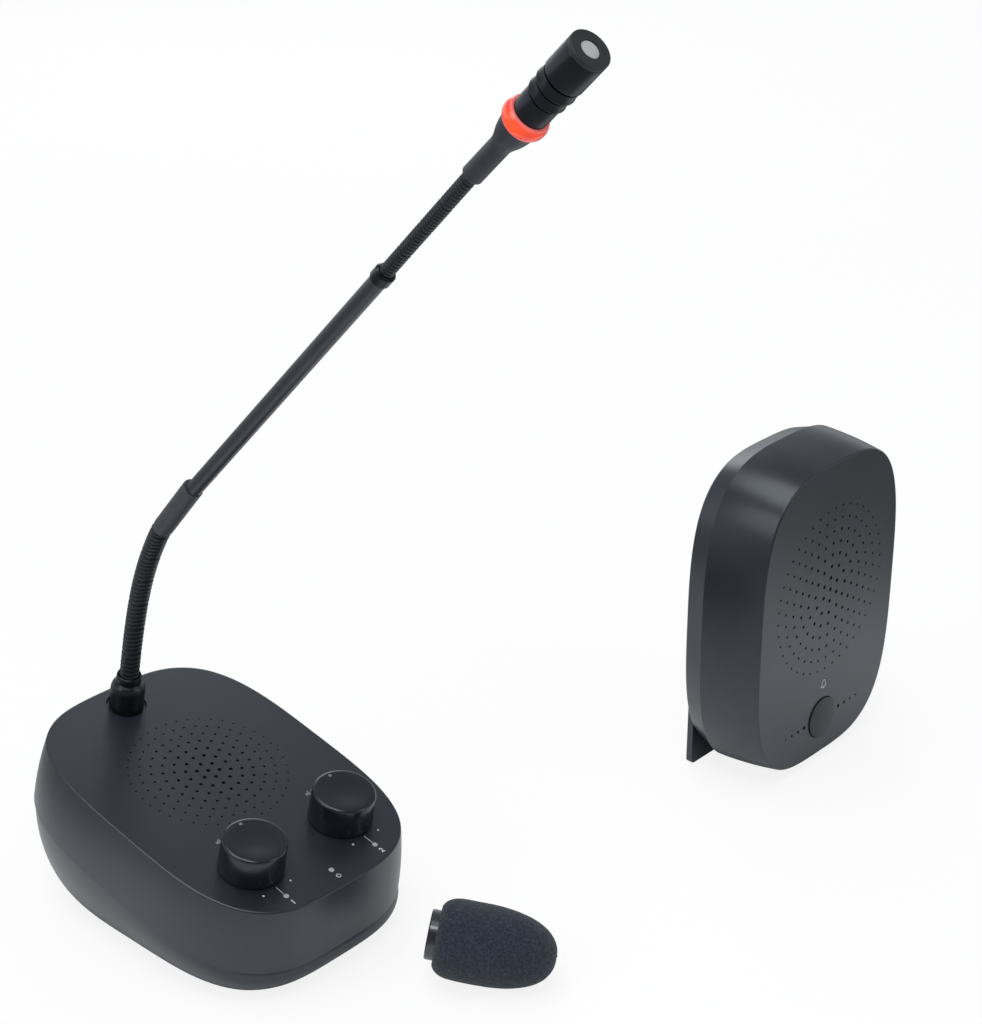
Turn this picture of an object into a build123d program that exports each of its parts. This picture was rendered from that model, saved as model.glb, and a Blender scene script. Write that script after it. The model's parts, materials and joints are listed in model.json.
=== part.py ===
from build123d import *
from math import atan2, cos, pi, radians, sin, sqrt
import os

# Teller window intercom: a desk station with a gooseneck microphone for the clerk, an outer
# station with a call button for the customer, and a foam windscreen that is off the microphone.
# Millimetres, +Z up. The origin is the middle of the desk station's rubber pad, on the counter.
# -Y is the clerk's side of the desk station, +Y its rear.

os.makedirs("parts", exist_ok=True)

# ---------------------------------------------------------------- housing, both stations
face_half_width = 55.0
face_half_length = 77.0
face_power = 3.4  # exponent of the rounded-square outline
girth_half_width = 59.0  # widest outline, at the split line
girth_half_length = 80.6
girth_power = 3.2
shell_depth = 30.7  # face down to the split line
wall_swell = 0.6  # bulge of the side wall between face and split line
shell_wall = 2.4
face_wall = 2.4
face_edge_radius = 0.8
split_step = 0.5  # shadow step of the cover inside the shell
lip_height = 2.0
lip_wall = 1.2
lip_ledge = 0.8  # from the lip in to the cover's inner wall
lip_clearance = 0.4
cover_wall = shell_wall + lip_clearance + lip_wall + lip_ledge - split_step
outline_points = 32
cut_over = 1.0  # how far a cut runs past the face it opens

# ---------------------------------------------------------------- speaker grilles
grille_rings = 7
holes_per_step = 6  # ring n holds n times this many holes
hole_sides = 6
desk_grille_y = 9.4
desk_grille_pitch = 4.9
desk_hole_radius = 1.05
desk_rim_hole_radius = 0.45
outer_grille_y = 11.4
outer_grille_pitch = 6.02
outer_hole_radius = 1.2
outer_rim_hole_radius = 0.65

# ---------------------------------------------------------------- desk station
desk_slope = 13.0  # the face leans down towards the clerk
desk_face_height = 61.8  # middle of the face above the counter
desk_face_y = -3.8
base_half_width = 47.2
base_half_length = 66.8
base_power = 3.6
pad_thickness = 1.5
pad_inset = 4.5
cover_floor = 2.6
base_edge_radius = 1.6
flank_roundness = 0.85  # 0 is a straight flank, 1 a quarter of an ellipse
flank_middle = 0.4  # shares of the drop at which the flank is drawn
flank_low = 0.75

# ---------------------------------------------------------------- outer station
outer_x = 275.0
outer_y = -125.0
rear_half_width = 55.0
rear_half_length = 76.6
rear_depth = 12.0  # split line to the flat back
rear_edge_radius = 2.0
bracket_half_width = 46.0
bracket_top = 4.0  # upper edge, from the middle of the housing
bracket_thickness = 3.2
bracket_hole_spacing = 60.0
bracket_hole_radius = 2.25
bracket_hole_drop = 34.0  # holes below the middle of the housing
bracket_hook_width = 14.0
bracket_hook_spacing = 50.0
bracket_window = 12.0
bracket_clearance = 0.3

# ---------------------------------------------------------------- screws
screw_radius = 1.5
screw_head_radius = 2.9
screw_head_height = 2.0
screw_bite = 12.0  # length of thread in the shell's boss
screw_web = 3.0  # cover material under the screw head
screw_clearance = 0.05
screw_head_clearance = 0.4
boss_radius = 3.8
pillar_radius = 4.4
screw_x = 38.0
desk_screw_front_y = -50.0
desk_screw_rear_y = 36.0
outer_screw_y = 52.0

# ---------------------------------------------------------------- speaker
speaker_radius = 33.0
speaker_flange = 1.6
speaker_flange_width = 5.0
speaker_depth = 15.0
basket_radius = 15.0
basket_wall = 1.2
cone_clearance = 0.4
cone_thickness = 0.6
cone_neck_radius = 8.0
magnet_radius = 14.0
magnet_height = 9.0
speaker_seat_wall = 1.6
speaker_seat_height = 3.0
speaker_seat_clearance = 0.3

# ---------------------------------------------------------------- volume controls
knob_x = 25.3
knob_y = -46.0
knob_radius = 13.9
knob_top_radius = 13.6
knob_height = 14.4
knob_gap = 0.5
knob_bevel = 1.1
knob_rim_width = 1.0
knob_dish = 0.9
knob_wall = 2.2
knob_roof = 4.6
knob_hub_radius = 5.4
knob_hub_gap = 0.7
shaft_radius = 3.0
shaft_flat = 1.6  # flat of the shaft, from its middle
shaft_length = 11.0  # above the face
shaft_grip_clearance = 0.02
running_clearance = 0.05
bushing_radius = 3.6
bushing_height = 3.4
bushing_clearance = 0.1
pot_radius = 8.2
pot_height = 6.5
pot_gap = 0.3
pot_floor = 1.0

# ---------------------------------------------------------------- indicators and boards
led_x = 25.3
led_y = -67.2
lens_radius = 1.2
lens_clearance = 0.05
lens_rise = 0.15
lens_board_gap = 0.3
board_thickness = 1.6
control_board_half_width = 33.0
control_board_front_y = -70.0
control_board_rear_y = -37.0
control_board_corner = 7.0
control_post_x = 8.0
control_post_y = -54.0
post_radius = 2.6
main_board_half_width = 28.0
main_board_front_y = -14.0
main_board_height = 7.0
main_board_corner = 9.0
main_board_rear_gap = 2.0
main_post_radius = 3.0
main_post_inset = 4.0
board_screw_radius = 1.1
board_screw_head_radius = 2.0
board_screw_head = 1.2
board_screw_length = 4.0
capacitor_radius = 5.0
capacitor_height = 12.0
chip_width = 12.0
chip_height = 2.0

# ---------------------------------------------------------------- rear sockets and switch
socket_x = 16.0
socket_barrel_radius = 4.0
socket_barrel_length = 7.6
socket_body_half = 5.0
socket_body_length = 7.0
socket_wall_clearance = 0.15
socket_proud = 0.4
socket_inset = 2.0  # sockets' flat seat, in from the wall at its middle
seat_margin = 2.0  # flat seat round the sockets
seat_corner = 1.5
power_bore_radius = 3.1
power_pin_radius = 1.0
power_bore_depth = 10.0
power_pin_inset = 1.0
link_bore_radius = 1.8
link_bore_depth = 12.0
switch_height = 33.5
switch_half_width = 6.4
switch_half_height = 9.4
switch_bezel = 1.2
switch_bezel_rim = 1.6
switch_seat_margin = 1.2
switch_body_depth = 11.0
switch_clearance = 0.15
rocker_clearance = 0.4
rocker_end_gap = 1.0  # room for the ends to swing
rocker_swing = 10.0
rocker_rise = 1.6
rocker_dip = 0.6
rocker_pivot_depth = 3.0
rocker_pin_radius = 1.2
rocker_pin_length = 1.2

# ---------------------------------------------------------------- gooseneck, lower part
gooseneck_y = 64.1
boot_recess_radius = 8.9
boot_recess_depth = 1.2
boot_radius = 8.2
boot_height = 17.0
boot_mouth_radius = 4.9
boot_wall_clearance = 0.15
boot_straight = 7.1  # height where the boot starts to curve in
boot_waist_height = 13.3
boot_waist_radius = 7.3
stud_flange_radius = 7.2
stud_flange_height = 1.6
stud_radius = 4.8
stud_column_radius = 4.3
stud_clearance = 0.15
stud_depth = 14.0
stud_pad_radius = 11.0
stud_pad_thickness = 3.0
nut_across_flats = 14.0
nut_height = 4.5

lower_link_length = 13.9
lower_flex_radius = 3.9
lower_ball_radius = 2.5
lower_neck_radius = 1.6
lower_rim = 0.9
lower_shoulder = 2.0
lower_turns = [0.0, 1.5, 2.0, 3.5, 5.0, 5.0]
ball_clearance = 0.12
rib_pitch = 2.1
rib_depth = 0.4

# ---------------------------------------------------------------- gooseneck, rigid stem
sleeve_turn = 11.0
sleeve_length = 35.0
sleeve_radius = 4.4
sleeve_edge_radius = 0.8
sleeve_grip = 12.0
stem_turn = 2.85
stem_radius = 3.4
stem_wall = 0.8
stem_length = 168.5
stem_clearance = 0.05
collar_radius = 4.1
collar_length = 5.0
collar_spigot = 8.0

# ---------------------------------------------------------------- gooseneck, upper part
upper_links = 4
upper_link_length = 14.15
upper_flex_radius = 2.8
upper_ball_radius = 1.8
upper_neck_radius = 1.1
upper_rim = 0.7
upper_shoulder = 1.5
neck_turn = 1.4

# ---------------------------------------------------------------- microphone head
neck_radius = 3.95
neck_sleeve_length = 19.6
cone_length = 12.9
cone_radius = 7.0
flare_share = 0.55  # share of the cone's widening reached at the flare's place
flare_place = 0.5  # share of the cone's length
flare_slope = 0.25
ring_radius = 8.3
ring_end_radius = 7.3
ring_bore = 6.2
ring_length = 6.0
ring_board_radius = 5.9
ring_board_bore = 3.0
ring_board_thickness = 0.8
spigot_radius = 2.6
spigot_length = 11.0
spigot_clearance = 0.05
barrel_foot_radius = 6.5
barrel_radius = 7.5
barrel_length = 32.2
barrel_steps = 3
barrel_step_pitch = 3.6
barrel_step_start = 9.0
barrel_step_depth = 0.9
barrel_crest_share = 0.4  # how far each collar's edge stands out towards the full radius
barrel_groove_start = 0.3  # heights above each collar's edge
barrel_groove_end = 0.9
barrel_groove_rise = 1.17
barrel_bore = 6.3
barrel_bore_depth = 9.0
end_ring_height = 2.0
end_ring_window = 2.8
end_ring_edge = 0.5
capsule_radius = 4.9
capsule_height = 5.0
capsule_clearance = 0.05

# ---------------------------------------------------------------- call button, outer microphone
button_y = -57.5
button_radius = 10.4
button_clearance = 0.4
button_rise = 0.6
button_dome = 0.9
button_dome_radius = 5.7  # where the dome has fallen by about a third
button_dome_height = 0.63
button_flange_radius = 12.2
button_flange_thickness = 1.0
button_stop_gap = 0.3
button_travel = 1.0
button_guide_wall = 1.4
button_guide_length = 7.0
button_guide_clearance = 0.3
plunger_radius = 2.4
switch_stem_radius = 1.7
switch_stem_clearance = 0.1
switch_stem_length = 4.0
call_switch_half = 6.0
call_switch_height = 4.0
call_switch_floor = 0.8
outer_board_depth = 14.0
outer_board_half_width = 30.0
outer_board_low_y = -72.0
outer_board_high_y = -34.0
outer_board_corner = 9.0
outer_post_x = 24.0
outer_post_y = -46.0
mic_hole_start = 14.5
mic_hole_pitch = 5.1
mic_hole_count = 4
mic_hole_radius = 1.1
mic_hole_last_radius = 0.6
outer_mic_radius = 4.8
outer_mic_height = 4.5
outer_mic_gap = 0.3
outer_mic_shift = 5.5  # outwards from the first microphone hole
outer_socket_y = 34.0

# ---------------------------------------------------------------- foam windscreen
windscreen_x = 22.3  # collar end of the foam
windscreen_y = -107.6
windscreen_yaw = -54.7
windscreen_dip = 9.0  # it lies a little nose down
windscreen_radius = 16.9
windscreen_length = 50.0
windscreen_shoulder = 13.9
windscreen_middle = 17.0  # widest place, from the collar end of the foam
windscreen_swell = 0.76  # share of the widening reached at the swell's place
windscreen_swell_place = 1 / 3  # share of the way to the widest place
windscreen_nose_power = 2.4  # exponent of the round end
windscreen_nose_points = 5
windscreen_bore = 7.6
windscreen_bore_depth = 29.0
windscreen_collar_radius = 10.4
windscreen_collar_length = 3.8
windscreen_collar_seat = 8.0
windscreen_collar_edge = 0.5


# ================================================================ shared construction
def between(start, end, share):
    """The value a share of the way from start to end."""
    return start + (end - start) * share


def shifted(frame, x=0.0, y=0.0, z=0.0):
    """The same frame with its origin at a point given in that frame."""
    return Plane(origin=frame.from_local_coords((x, y, z)), x_dir=frame.x_dir, z_dir=frame.z_dir)


def leaning(point, angle):
    """A frame at a point whose normal leans by an angle from upright towards the clerk."""
    return Plane(
        origin=point, x_dir=(1, 0, 0), z_dir=(0, -sin(radians(angle)), cos(radians(angle)))
    )


def squircle(frame, half_width, half_length, power):
    """Rounded-square face on a frame, from |x/w|^n + |y/l|^n = 1 in polar form."""
    points = []
    for step in range(outline_points):
        turn = 2 * pi * step / outline_points
        across = abs(cos(turn) / half_width) ** power
        along = abs(sin(turn) / half_length) ** power
        reach = (across + along) ** (-1 / power)
        points.append((reach * cos(turn), reach * sin(turn)))
    with BuildSketch(frame) as outline:
        with BuildLine():
            Spline(*points, periodic=True)
        make_face()
    return outline.sketch


def circles(frame, radius, places=((0, 0),)):
    """Round faces of one radius at some places of a frame."""
    with BuildSketch(frame) as outline:
        with Locations(*places):
            Circle(radius)
    return outline.sketch


def turn_profile(frame, points, mode=Mode.ADD):
    """Turn a closed profile of (radius, height) points about the normal of a frame."""
    with BuildSketch(Plane(origin=frame.origin, x_dir=frame.x_dir, z_dir=-frame.y_dir)) as outline:
        with BuildLine():
            Polyline(*points, close=True)
        make_face()
    revolve(profiles=outline.sketch, axis=Axis(frame.origin, frame.z_dir), mode=mode)


def shell_outline(frame, depth, inset=0.0):
    """Outline of the front shell at a depth under its face, moved in from the skin."""
    share = depth / shell_depth
    swollen = share + wall_swell * share * (1 - share)
    return squircle(
        frame.offset(-depth),
        between(face_half_width, girth_half_width, swollen) - inset,
        between(face_half_length, girth_half_length, swollen) - inset,
        between(face_power, girth_power, share),
    )


def cover_outline(frame, inset=0.0):
    """Outline of a rear or bottom cover at the split line, moved in from its own skin."""
    return squircle(
        frame.offset(-shell_depth),
        girth_half_width - split_step - inset,
        girth_half_length - split_step - inset,
        girth_power,
    )


def make_shell(frame):
    """The hollow front shell of a station, open at the split line."""
    with BuildPart() as shell:
        loft(sections=[shell_outline(frame, depth) for depth in (0, shell_depth / 2, shell_depth)])
        face_edge = shell.faces().sort_by(Axis(frame.origin, frame.z_dir))[-1].edges()
        fillet(face_edge, face_edge_radius)
        middle = between(face_wall, shell_depth, 0.5)
        inner_depths = (face_wall, middle, shell_depth + cut_over)
        loft(
            sections=[shell_outline(frame, depth, shell_wall) for depth in inner_depths],
            mode=Mode.SUBTRACT,
        )
    return shell.part


def grille_holes(frame, centre_y, pitch, hole_radius, rim_hole_radius):
    """Rings of holes round a middle one, each ring with one hole above the middle."""
    with BuildSketch(shifted(frame, y=centre_y, z=cut_over)) as holes:
        RegularPolygon(hole_radius, hole_sides)
        for ring in range(1, grille_rings + 1):
            radius = between(hole_radius, rim_hole_radius, ring / grille_rings)
            with PolarLocations(ring * pitch, ring * holes_per_step, start_angle=90):
                RegularPolygon(radius, hole_sides)
    return holes.sketch


def lip_ring(frame):
    """Ring that locates a cover inside the shell's open edge."""
    outer_width = girth_half_width - shell_wall - lip_clearance
    outer_length = girth_half_length - shell_wall - lip_clearance
    plane = frame.offset(-shell_depth - cut_over)
    ring = squircle(plane, outer_width, outer_length, girth_power)
    return ring - squircle(plane, outer_width - lip_wall, outer_length - lip_wall, girth_power)


def screw_solids(places, frame, seat_depth, length):
    """Pan screws whose heads sit at a depth under a frame, threads upwards."""
    with BuildPart() as screws:
        heads = circles(frame.offset(-seat_depth), screw_head_radius, places)
        extrude(to_extrude=heads, amount=-screw_head_height)
        shanks = circles(frame.offset(-seat_depth), screw_radius, places)
        extrude(to_extrude=shanks, amount=length)
    return screws.part


# ================================================================ frames of the two stations
desk_face = leaning((0, desk_face_y, desk_face_height), desk_slope)
outer_face = Plane(
    origin=(outer_x, outer_y, girth_half_length), x_dir=(1, 0, 0), z_dir=(0, -1, 0)
)
base_plane = Plane.XY.offset(pad_thickness)
knob_places = ((-knob_x, knob_y), (knob_x, knob_y))
led_places = ((-led_x, led_y), (0, led_y), (led_x, led_y))
desk_screw_places = [
    (side * screw_x, y) for side in (-1, 1) for y in (desk_screw_front_y, desk_screw_rear_y)
]
outer_screw_places = [
    (side * screw_x, end * outer_screw_y) for side in (-1, 1) for end in (-1, 1)
]
screw_seat_depth = shell_depth + screw_web
pilot_depth = screw_bite + cut_over


def flank_run(drop):
    """How far a flank has run in to the base, at a share of its drop from the split line."""
    full = 1 - sqrt(1 - flank_roundness**2)
    return (1 - sqrt(1 - (flank_roundness * drop) ** 2)) / full


def cover_section(drop, inset=0.0):
    """Outline of the bottom cover at a share of its drop from the split line to the base."""
    split_middle = desk_face.from_local_coords((0, 0, -shell_depth))
    run = flank_run(drop)
    middle = (0, between(split_middle.Y, 0, run), between(split_middle.Z, pad_thickness, drop))
    return squircle(
        leaning(middle, desk_slope * (1 - drop)),
        between(girth_half_width - split_step, base_half_width, run) - inset,
        between(girth_half_length - split_step, base_half_length, run) - inset,
        between(girth_power, base_power, drop),
    )


with BuildPart() as cover_body:
    loft(sections=[cover_section(drop) for drop in (0, flank_middle, flank_low, 1)])


def rear_wall_y(height):
    """Rear skin of the bottom cover at a height, on its middle line."""
    skin = cover_body.part.find_intersection_points(Axis((0, 0, height), (0, 1, 0)))
    return max(point.Y for point, normal in skin)


main_board_top = pad_thickness + main_board_height + board_thickness
socket_height = main_board_top + socket_body_half
socket_y = rear_wall_y(socket_height) - socket_inset

# ================================================================ desk station: housing
with BuildPart() as desk_top_shell:
    add(make_shell(desk_face))
    extrude(
        to_extrude=circles(desk_face.offset(-shell_depth), boss_radius, desk_screw_places),
        amount=shell_depth - face_wall / 2,
    )
    seat_radius = speaker_radius + speaker_seat_clearance
    seat_plane = shifted(desk_face, y=desk_grille_y, z=-face_wall - speaker_seat_height)
    speaker_seat = circles(seat_plane, seat_radius + speaker_seat_wall)
    speaker_seat -= circles(seat_plane, seat_radius)
    extrude(to_extrude=speaker_seat, amount=speaker_seat_height + face_wall / 2)
    stud_pad = circles(desk_face.offset(-face_wall), stud_pad_radius, [(0, gooseneck_y)])
    extrude(to_extrude=stud_pad, amount=-stud_pad_thickness)
    post_places = [(-control_post_x, control_post_y), (control_post_x, control_post_y)]
    control_board_top = face_wall + pot_gap + pot_height
    post_length = control_board_top - face_wall
    extrude(
        to_extrude=circles(desk_face.offset(-control_board_top), post_radius, post_places),
        amount=post_length + face_wall / 2,
    )
    extrude(
        to_extrude=circles(
            desk_face.offset(-shell_depth - cut_over), screw_radius + screw_clearance, desk_screw_places
        ),
        amount=pilot_depth + cut_over,
        mode=Mode.SUBTRACT,
    )
    extrude(
        to_extrude=circles(
            desk_face.offset(-control_board_top - cut_over),
            board_screw_radius + screw_clearance,
            post_places,
        ),
        amount=board_screw_length + cut_over,
        mode=Mode.SUBTRACT,
    )
    face_cut = face_wall + 2 * cut_over
    extrude(
        to_extrude=grille_holes(
            desk_face, desk_grille_y, desk_grille_pitch, desk_hole_radius, desk_rim_hole_radius
        ),
        amount=-face_cut,
        mode=Mode.SUBTRACT,
    )
    cut_plane = desk_face.offset(cut_over)
    extrude(
        to_extrude=circles(cut_plane, bushing_radius + bushing_clearance, knob_places),
        amount=-face_cut,
        mode=Mode.SUBTRACT,
    )
    extrude(
        to_extrude=circles(cut_plane, lens_radius + lens_clearance, led_places),
        amount=-face_cut,
        mode=Mode.SUBTRACT,
    )
    extrude(
        to_extrude=circles(cut_plane, boot_recess_radius, [(0, gooseneck_y)]),
        amount=-boot_recess_depth - cut_over,
        mode=Mode.SUBTRACT,
    )
    extrude(
        to_extrude=circles(cut_plane, stud_radius + stud_clearance, [(0, gooseneck_y)]),
        amount=-face_cut - stud_pad_thickness,
        mode=Mode.SUBTRACT,
    )

pillar_reach = desk_face_height + base_half_length  # long enough to pass the floor everywhere

with BuildPart() as cover_pillars:
    add(cover_body.part)
    extrude(
        to_extrude=circles(desk_face.offset(-shell_depth), pillar_radius, desk_screw_places),
        amount=-pillar_reach,
        mode=Mode.INTERSECT,
    )

wall_rise = rear_wall_y(switch_height + cut_over) - rear_wall_y(switch_height - cut_over)
switch_wall_angle = atan2(wall_rise, 2 * cut_over)
switch_frame = Plane(
    origin=(0, rear_wall_y(switch_height), switch_height),
    x_dir=(-1, 0, 0),
    z_dir=(0, cos(switch_wall_angle), -sin(switch_wall_angle)),
)
socket_seat = Plane(origin=(0, socket_y, socket_height), x_dir=(-1, 0, 0), z_dir=(0, 1, 0))


def flat_seat(plane, half_width, half_height):
    """Flat land in the round wall: what stands out of its plane goes, and it is filled behind."""
    with BuildSketch(plane) as seat:
        RectangleRounded(2 * half_width, 2 * half_height, seat_corner)
    extrude(to_extrude=seat.sketch, amount=cover_wall, mode=Mode.SUBTRACT)
    extrude(to_extrude=seat.sketch, amount=-cover_wall)


with BuildPart() as desk_bottom_cover:
    add(cover_body.part)
    base_edge = desk_bottom_cover.faces().sort_by(Axis.Z)[0].edges()
    fillet(base_edge, base_edge_radius)
    loft(
        sections=[
            cover_section(0, cover_wall),
            cover_section(flank_middle, cover_wall),
            squircle(
                base_plane.offset(cover_floor),
                base_half_width - cover_wall + split_step,
                base_half_length - cover_wall + split_step,
                base_power,
            ),
        ],
        mode=Mode.SUBTRACT,
    )
    flat_seat(
        socket_seat,
        socket_x + socket_barrel_radius + seat_margin,
        socket_barrel_radius + seat_margin,
    )
    flat_seat(
        switch_frame,
        switch_half_width + switch_bezel_rim + switch_seat_margin,
        switch_half_height + switch_bezel_rim + switch_seat_margin,
    )
    extrude(to_extrude=lip_ring(desk_face), amount=lip_height + cut_over)
    add(cover_pillars.part)
    main_post_places = [
        (side * (main_board_half_width - main_post_inset), y)
        for side in (-1, 1)
        for y in (
            main_board_front_y + main_post_inset,
            socket_y - socket_barrel_length - socket_body_length - 2 * main_post_inset,
        )
    ]
    extrude(
        to_extrude=circles(
            base_plane.offset(cover_floor / 2), main_post_radius, main_post_places
        ),
        amount=main_board_height - cover_floor / 2,
    )
    extrude(
        to_extrude=circles(
            base_plane.offset(main_board_height + cut_over),
            board_screw_radius + screw_clearance,
            main_post_places,
        ),
        amount=-board_screw_length - cut_over,
        mode=Mode.SUBTRACT,
    )
    extrude(
        to_extrude=circles(
            desk_face.offset(cut_over - shell_depth), screw_radius + screw_clearance, desk_screw_places
        ),
        amount=-pillar_reach,
        mode=Mode.SUBTRACT,
    )
    extrude(
        to_extrude=circles(
            desk_face.offset(-screw_seat_depth),
            screw_head_radius + screw_head_clearance,
            desk_screw_places,
        ),
        amount=-pillar_reach,
        mode=Mode.SUBTRACT,
    )
    extrude(
        to_extrude=circles(
            socket_seat.offset(cut_over),
            socket_barrel_radius + socket_wall_clearance,
            [(-socket_x, 0), (socket_x, 0)],
        ),
        amount=-cut_over - 2 * cover_wall,
        mode=Mode.SUBTRACT,
    )
    with BuildSketch(switch_frame.offset(cut_over)):
        Rectangle(2 * (switch_half_width + switch_clearance), 2 * (switch_half_height + switch_clearance))
    extrude(amount=-2 * cut_over - 2 * cover_wall, mode=Mode.SUBTRACT)

with BuildPart() as desk_base_pad:
    extrude(
        to_extrude=squircle(
            Plane.XY, base_half_width - pad_inset, base_half_length - pad_inset, base_power
        ),
        amount=pad_thickness,
    )
    extrude(
        to_extrude=circles(
            desk_face.offset(-screw_seat_depth),
            screw_head_radius + 2 * screw_head_clearance,
            desk_screw_places,
        ),
        amount=-pillar_reach,
        mode=Mode.SUBTRACT,
    )

desk_cover_screws = screw_solids(
    desk_screw_places, desk_face, screw_seat_depth, screw_web + screw_bite
)


# ================================================================ speakers
def make_speaker(frame, centre_y):
    """Basket, cone and magnet of a small loudspeaker whose flange lies on the shell's inside."""
    front = shifted(frame, y=centre_y, z=-face_wall)
    cone_radius_open = speaker_radius - speaker_flange_width
    back = -speaker_depth
    with BuildPart() as basket:
        turn_profile(
            front,
            [
                (cone_radius_open, 0),
                (speaker_radius, 0),
                (speaker_radius, -speaker_flange),
                (cone_radius_open + basket_wall, -speaker_flange),
                (basket_radius + basket_wall, back),
                (cone_neck_radius, back),
                (cone_neck_radius, back + basket_wall),
                (basket_radius, back + basket_wall),
                (cone_radius_open, -speaker_flange),
            ],
        )
    surround = cone_radius_open - 2 * cone_clearance
    neck = -speaker_depth + 2 * basket_wall
    with BuildPart() as cone:
        turn_profile(
            front,
            [
                (0, neck + cone_thickness),
                (cone_neck_radius, neck + cone_thickness),
                (surround, -speaker_flange),
                (surround, -speaker_flange - cone_thickness),
                (cone_neck_radius, neck),
                (0, neck),
            ],
        )
    with BuildPart() as magnet:
        extrude(to_extrude=circles(front.offset(back), magnet_radius), amount=-magnet_height)
        fillet(magnet.edges().filter_by(GeomType.CIRCLE), cone_thickness)
    return basket.part, cone.part, magnet.part


desk_speaker_frame, desk_speaker_cone, desk_speaker_magnet = make_speaker(desk_face, desk_grille_y)

# ================================================================ desk station: boards
with BuildPart() as desk_control_board:
    with BuildSketch(desk_face.offset(-control_board_top)):
        board_length = control_board_rear_y - control_board_front_y
        with Locations((0, control_board_front_y + board_length / 2)):
            Rectangle(2 * control_board_half_width, board_length)
        chamfer(vertices().group_by(Axis.Y)[0], control_board_corner)
        with Locations(*post_places):
            Circle(board_screw_radius + screw_clearance, mode=Mode.SUBTRACT)
    extrude(amount=-board_thickness)

with BuildPart() as desk_main_board:
    board_rear_y = socket_y - socket_barrel_length - main_board_rear_gap
    with BuildSketch(base_plane.offset(main_board_height)):
        with Locations((0, (main_board_front_y + board_rear_y) / 2)):
            Rectangle(2 * main_board_half_width, board_rear_y - main_board_front_y)
        chamfer(vertices().group_by(Axis.Y)[-1], main_board_corner)
        with Locations(*main_post_places):
            Circle(board_screw_radius + screw_clearance, mode=Mode.SUBTRACT)
    extrude(amount=board_thickness)
    board_top = base_plane.offset(main_board_height + board_thickness)
    capacitor_y = main_board_front_y + 3 * capacitor_radius
    extrude(
        to_extrude=circles(
            board_top,
            capacitor_radius,
            [(-2 * capacitor_radius, capacitor_y), (2 * capacitor_radius, capacitor_y)],
        ),
        amount=capacitor_height,
    )
    with BuildSketch(board_top):
        with Locations((0, capacitor_y + 3 * capacitor_radius)):
            Rectangle(chip_width, chip_width)
    extrude(amount=chip_height)

with BuildPart() as desk_board_screws:
    extrude(
        to_extrude=circles(board_top, board_screw_head_radius, main_post_places),
        amount=board_screw_head,
    )
    extrude(
        to_extrude=circles(board_top, board_screw_radius, main_post_places),
        amount=-board_thickness - board_screw_length + cut_over,
    )
    control_heads_plane = desk_face.offset(-control_board_top - board_thickness)
    extrude(
        to_extrude=circles(control_heads_plane, board_screw_head_radius, post_places),
        amount=-board_screw_head,
    )
    extrude(
        to_extrude=circles(control_heads_plane, board_screw_radius, post_places),
        amount=board_thickness + board_screw_length - cut_over,
    )

with BuildPart() as indicator_lenses:
    lens_length = control_board_top - lens_board_gap + lens_rise
    extrude(
        to_extrude=circles(desk_face.offset(lens_rise), lens_radius, led_places),
        amount=-lens_length,
    )
    lens_tops = indicator_lenses.faces().group_by(Axis(desk_face.origin, desk_face.z_dir))[-1]
    fillet(lens_tops.edges(), lens_rise)


# ================================================================ desk station: volume controls
def d_shape(frame, radius, flat):
    """Circle with one flat, for a shaft or the bore that takes it."""
    with BuildSketch(frame) as outline:
        Circle(radius)
        with Locations((0, -flat - radius)):
            Rectangle(2 * radius, 2 * radius, mode=Mode.SUBTRACT)
    return outline.sketch


def make_volume_control(place):
    """Potentiometer, its shaft and the knob on it, at a place of the desk face."""
    centre = shifted(desk_face, x=place[0], y=place[1])
    pot_top = -face_wall - pot_gap
    with BuildPart() as pot:
        extrude(to_extrude=circles(centre.offset(pot_top), pot_radius), amount=-pot_height)
        fillet(pot.faces().sort_by(Axis(centre.origin, centre.z_dir))[-1].edges(), pot_gap)
        extrude(
            to_extrude=circles(centre.offset(pot_top), bushing_radius),
            amount=bushing_height - pot_top,
        )
        extrude(
            to_extrude=circles(centre.offset(bushing_height), shaft_radius + running_clearance),
            amount=-bushing_height + pot_top - pot_height + pot_floor,
            mode=Mode.SUBTRACT,
        )
    shaft_foot = pot_top - pot_height + pot_floor + running_clearance
    with BuildPart() as shaft:
        extrude(
            to_extrude=circles(centre.offset(shaft_foot), shaft_radius),
            amount=bushing_height - shaft_foot,
        )
        extrude(
            to_extrude=d_shape(centre.offset(bushing_height), shaft_radius, shaft_flat),
            amount=shaft_length - bushing_height,
        )
    hub_foot = bushing_height + knob_hub_gap
    with BuildPart() as knob:
        turn_profile(
            centre,
            [
                (0, hub_foot),
                (knob_hub_radius, hub_foot),
                (knob_hub_radius, knob_height - knob_roof),
                (knob_radius - knob_wall, knob_height - knob_roof),
                (knob_radius - knob_wall, knob_gap),
                (knob_radius, knob_gap),
                (knob_top_radius, knob_height + knob_gap - knob_bevel),
                (knob_top_radius - knob_bevel, knob_height + knob_gap),
                (knob_top_radius - knob_bevel - knob_rim_width, knob_height + knob_gap),
                (knob_top_radius - knob_bevel - 2 * knob_rim_width, knob_height + knob_gap - knob_dish),
                (0, knob_height + knob_gap - knob_dish),
            ],
        )
        extrude(
            to_extrude=d_shape(
                centre.offset(hub_foot - cut_over),
                shaft_radius + shaft_grip_clearance,
                shaft_flat + shaft_grip_clearance,
            ),
            amount=shaft_length - hub_foot + cut_over + shaft_grip_clearance,
            mode=Mode.SUBTRACT,
        )
    return pot.part, shaft.part, knob.part


volume_pot_left, volume_shaft_left, volume_knob_left = make_volume_control(knob_places[0])
volume_pot_right, volume_shaft_right, volume_knob_right = make_volume_control(knob_places[1])


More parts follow.
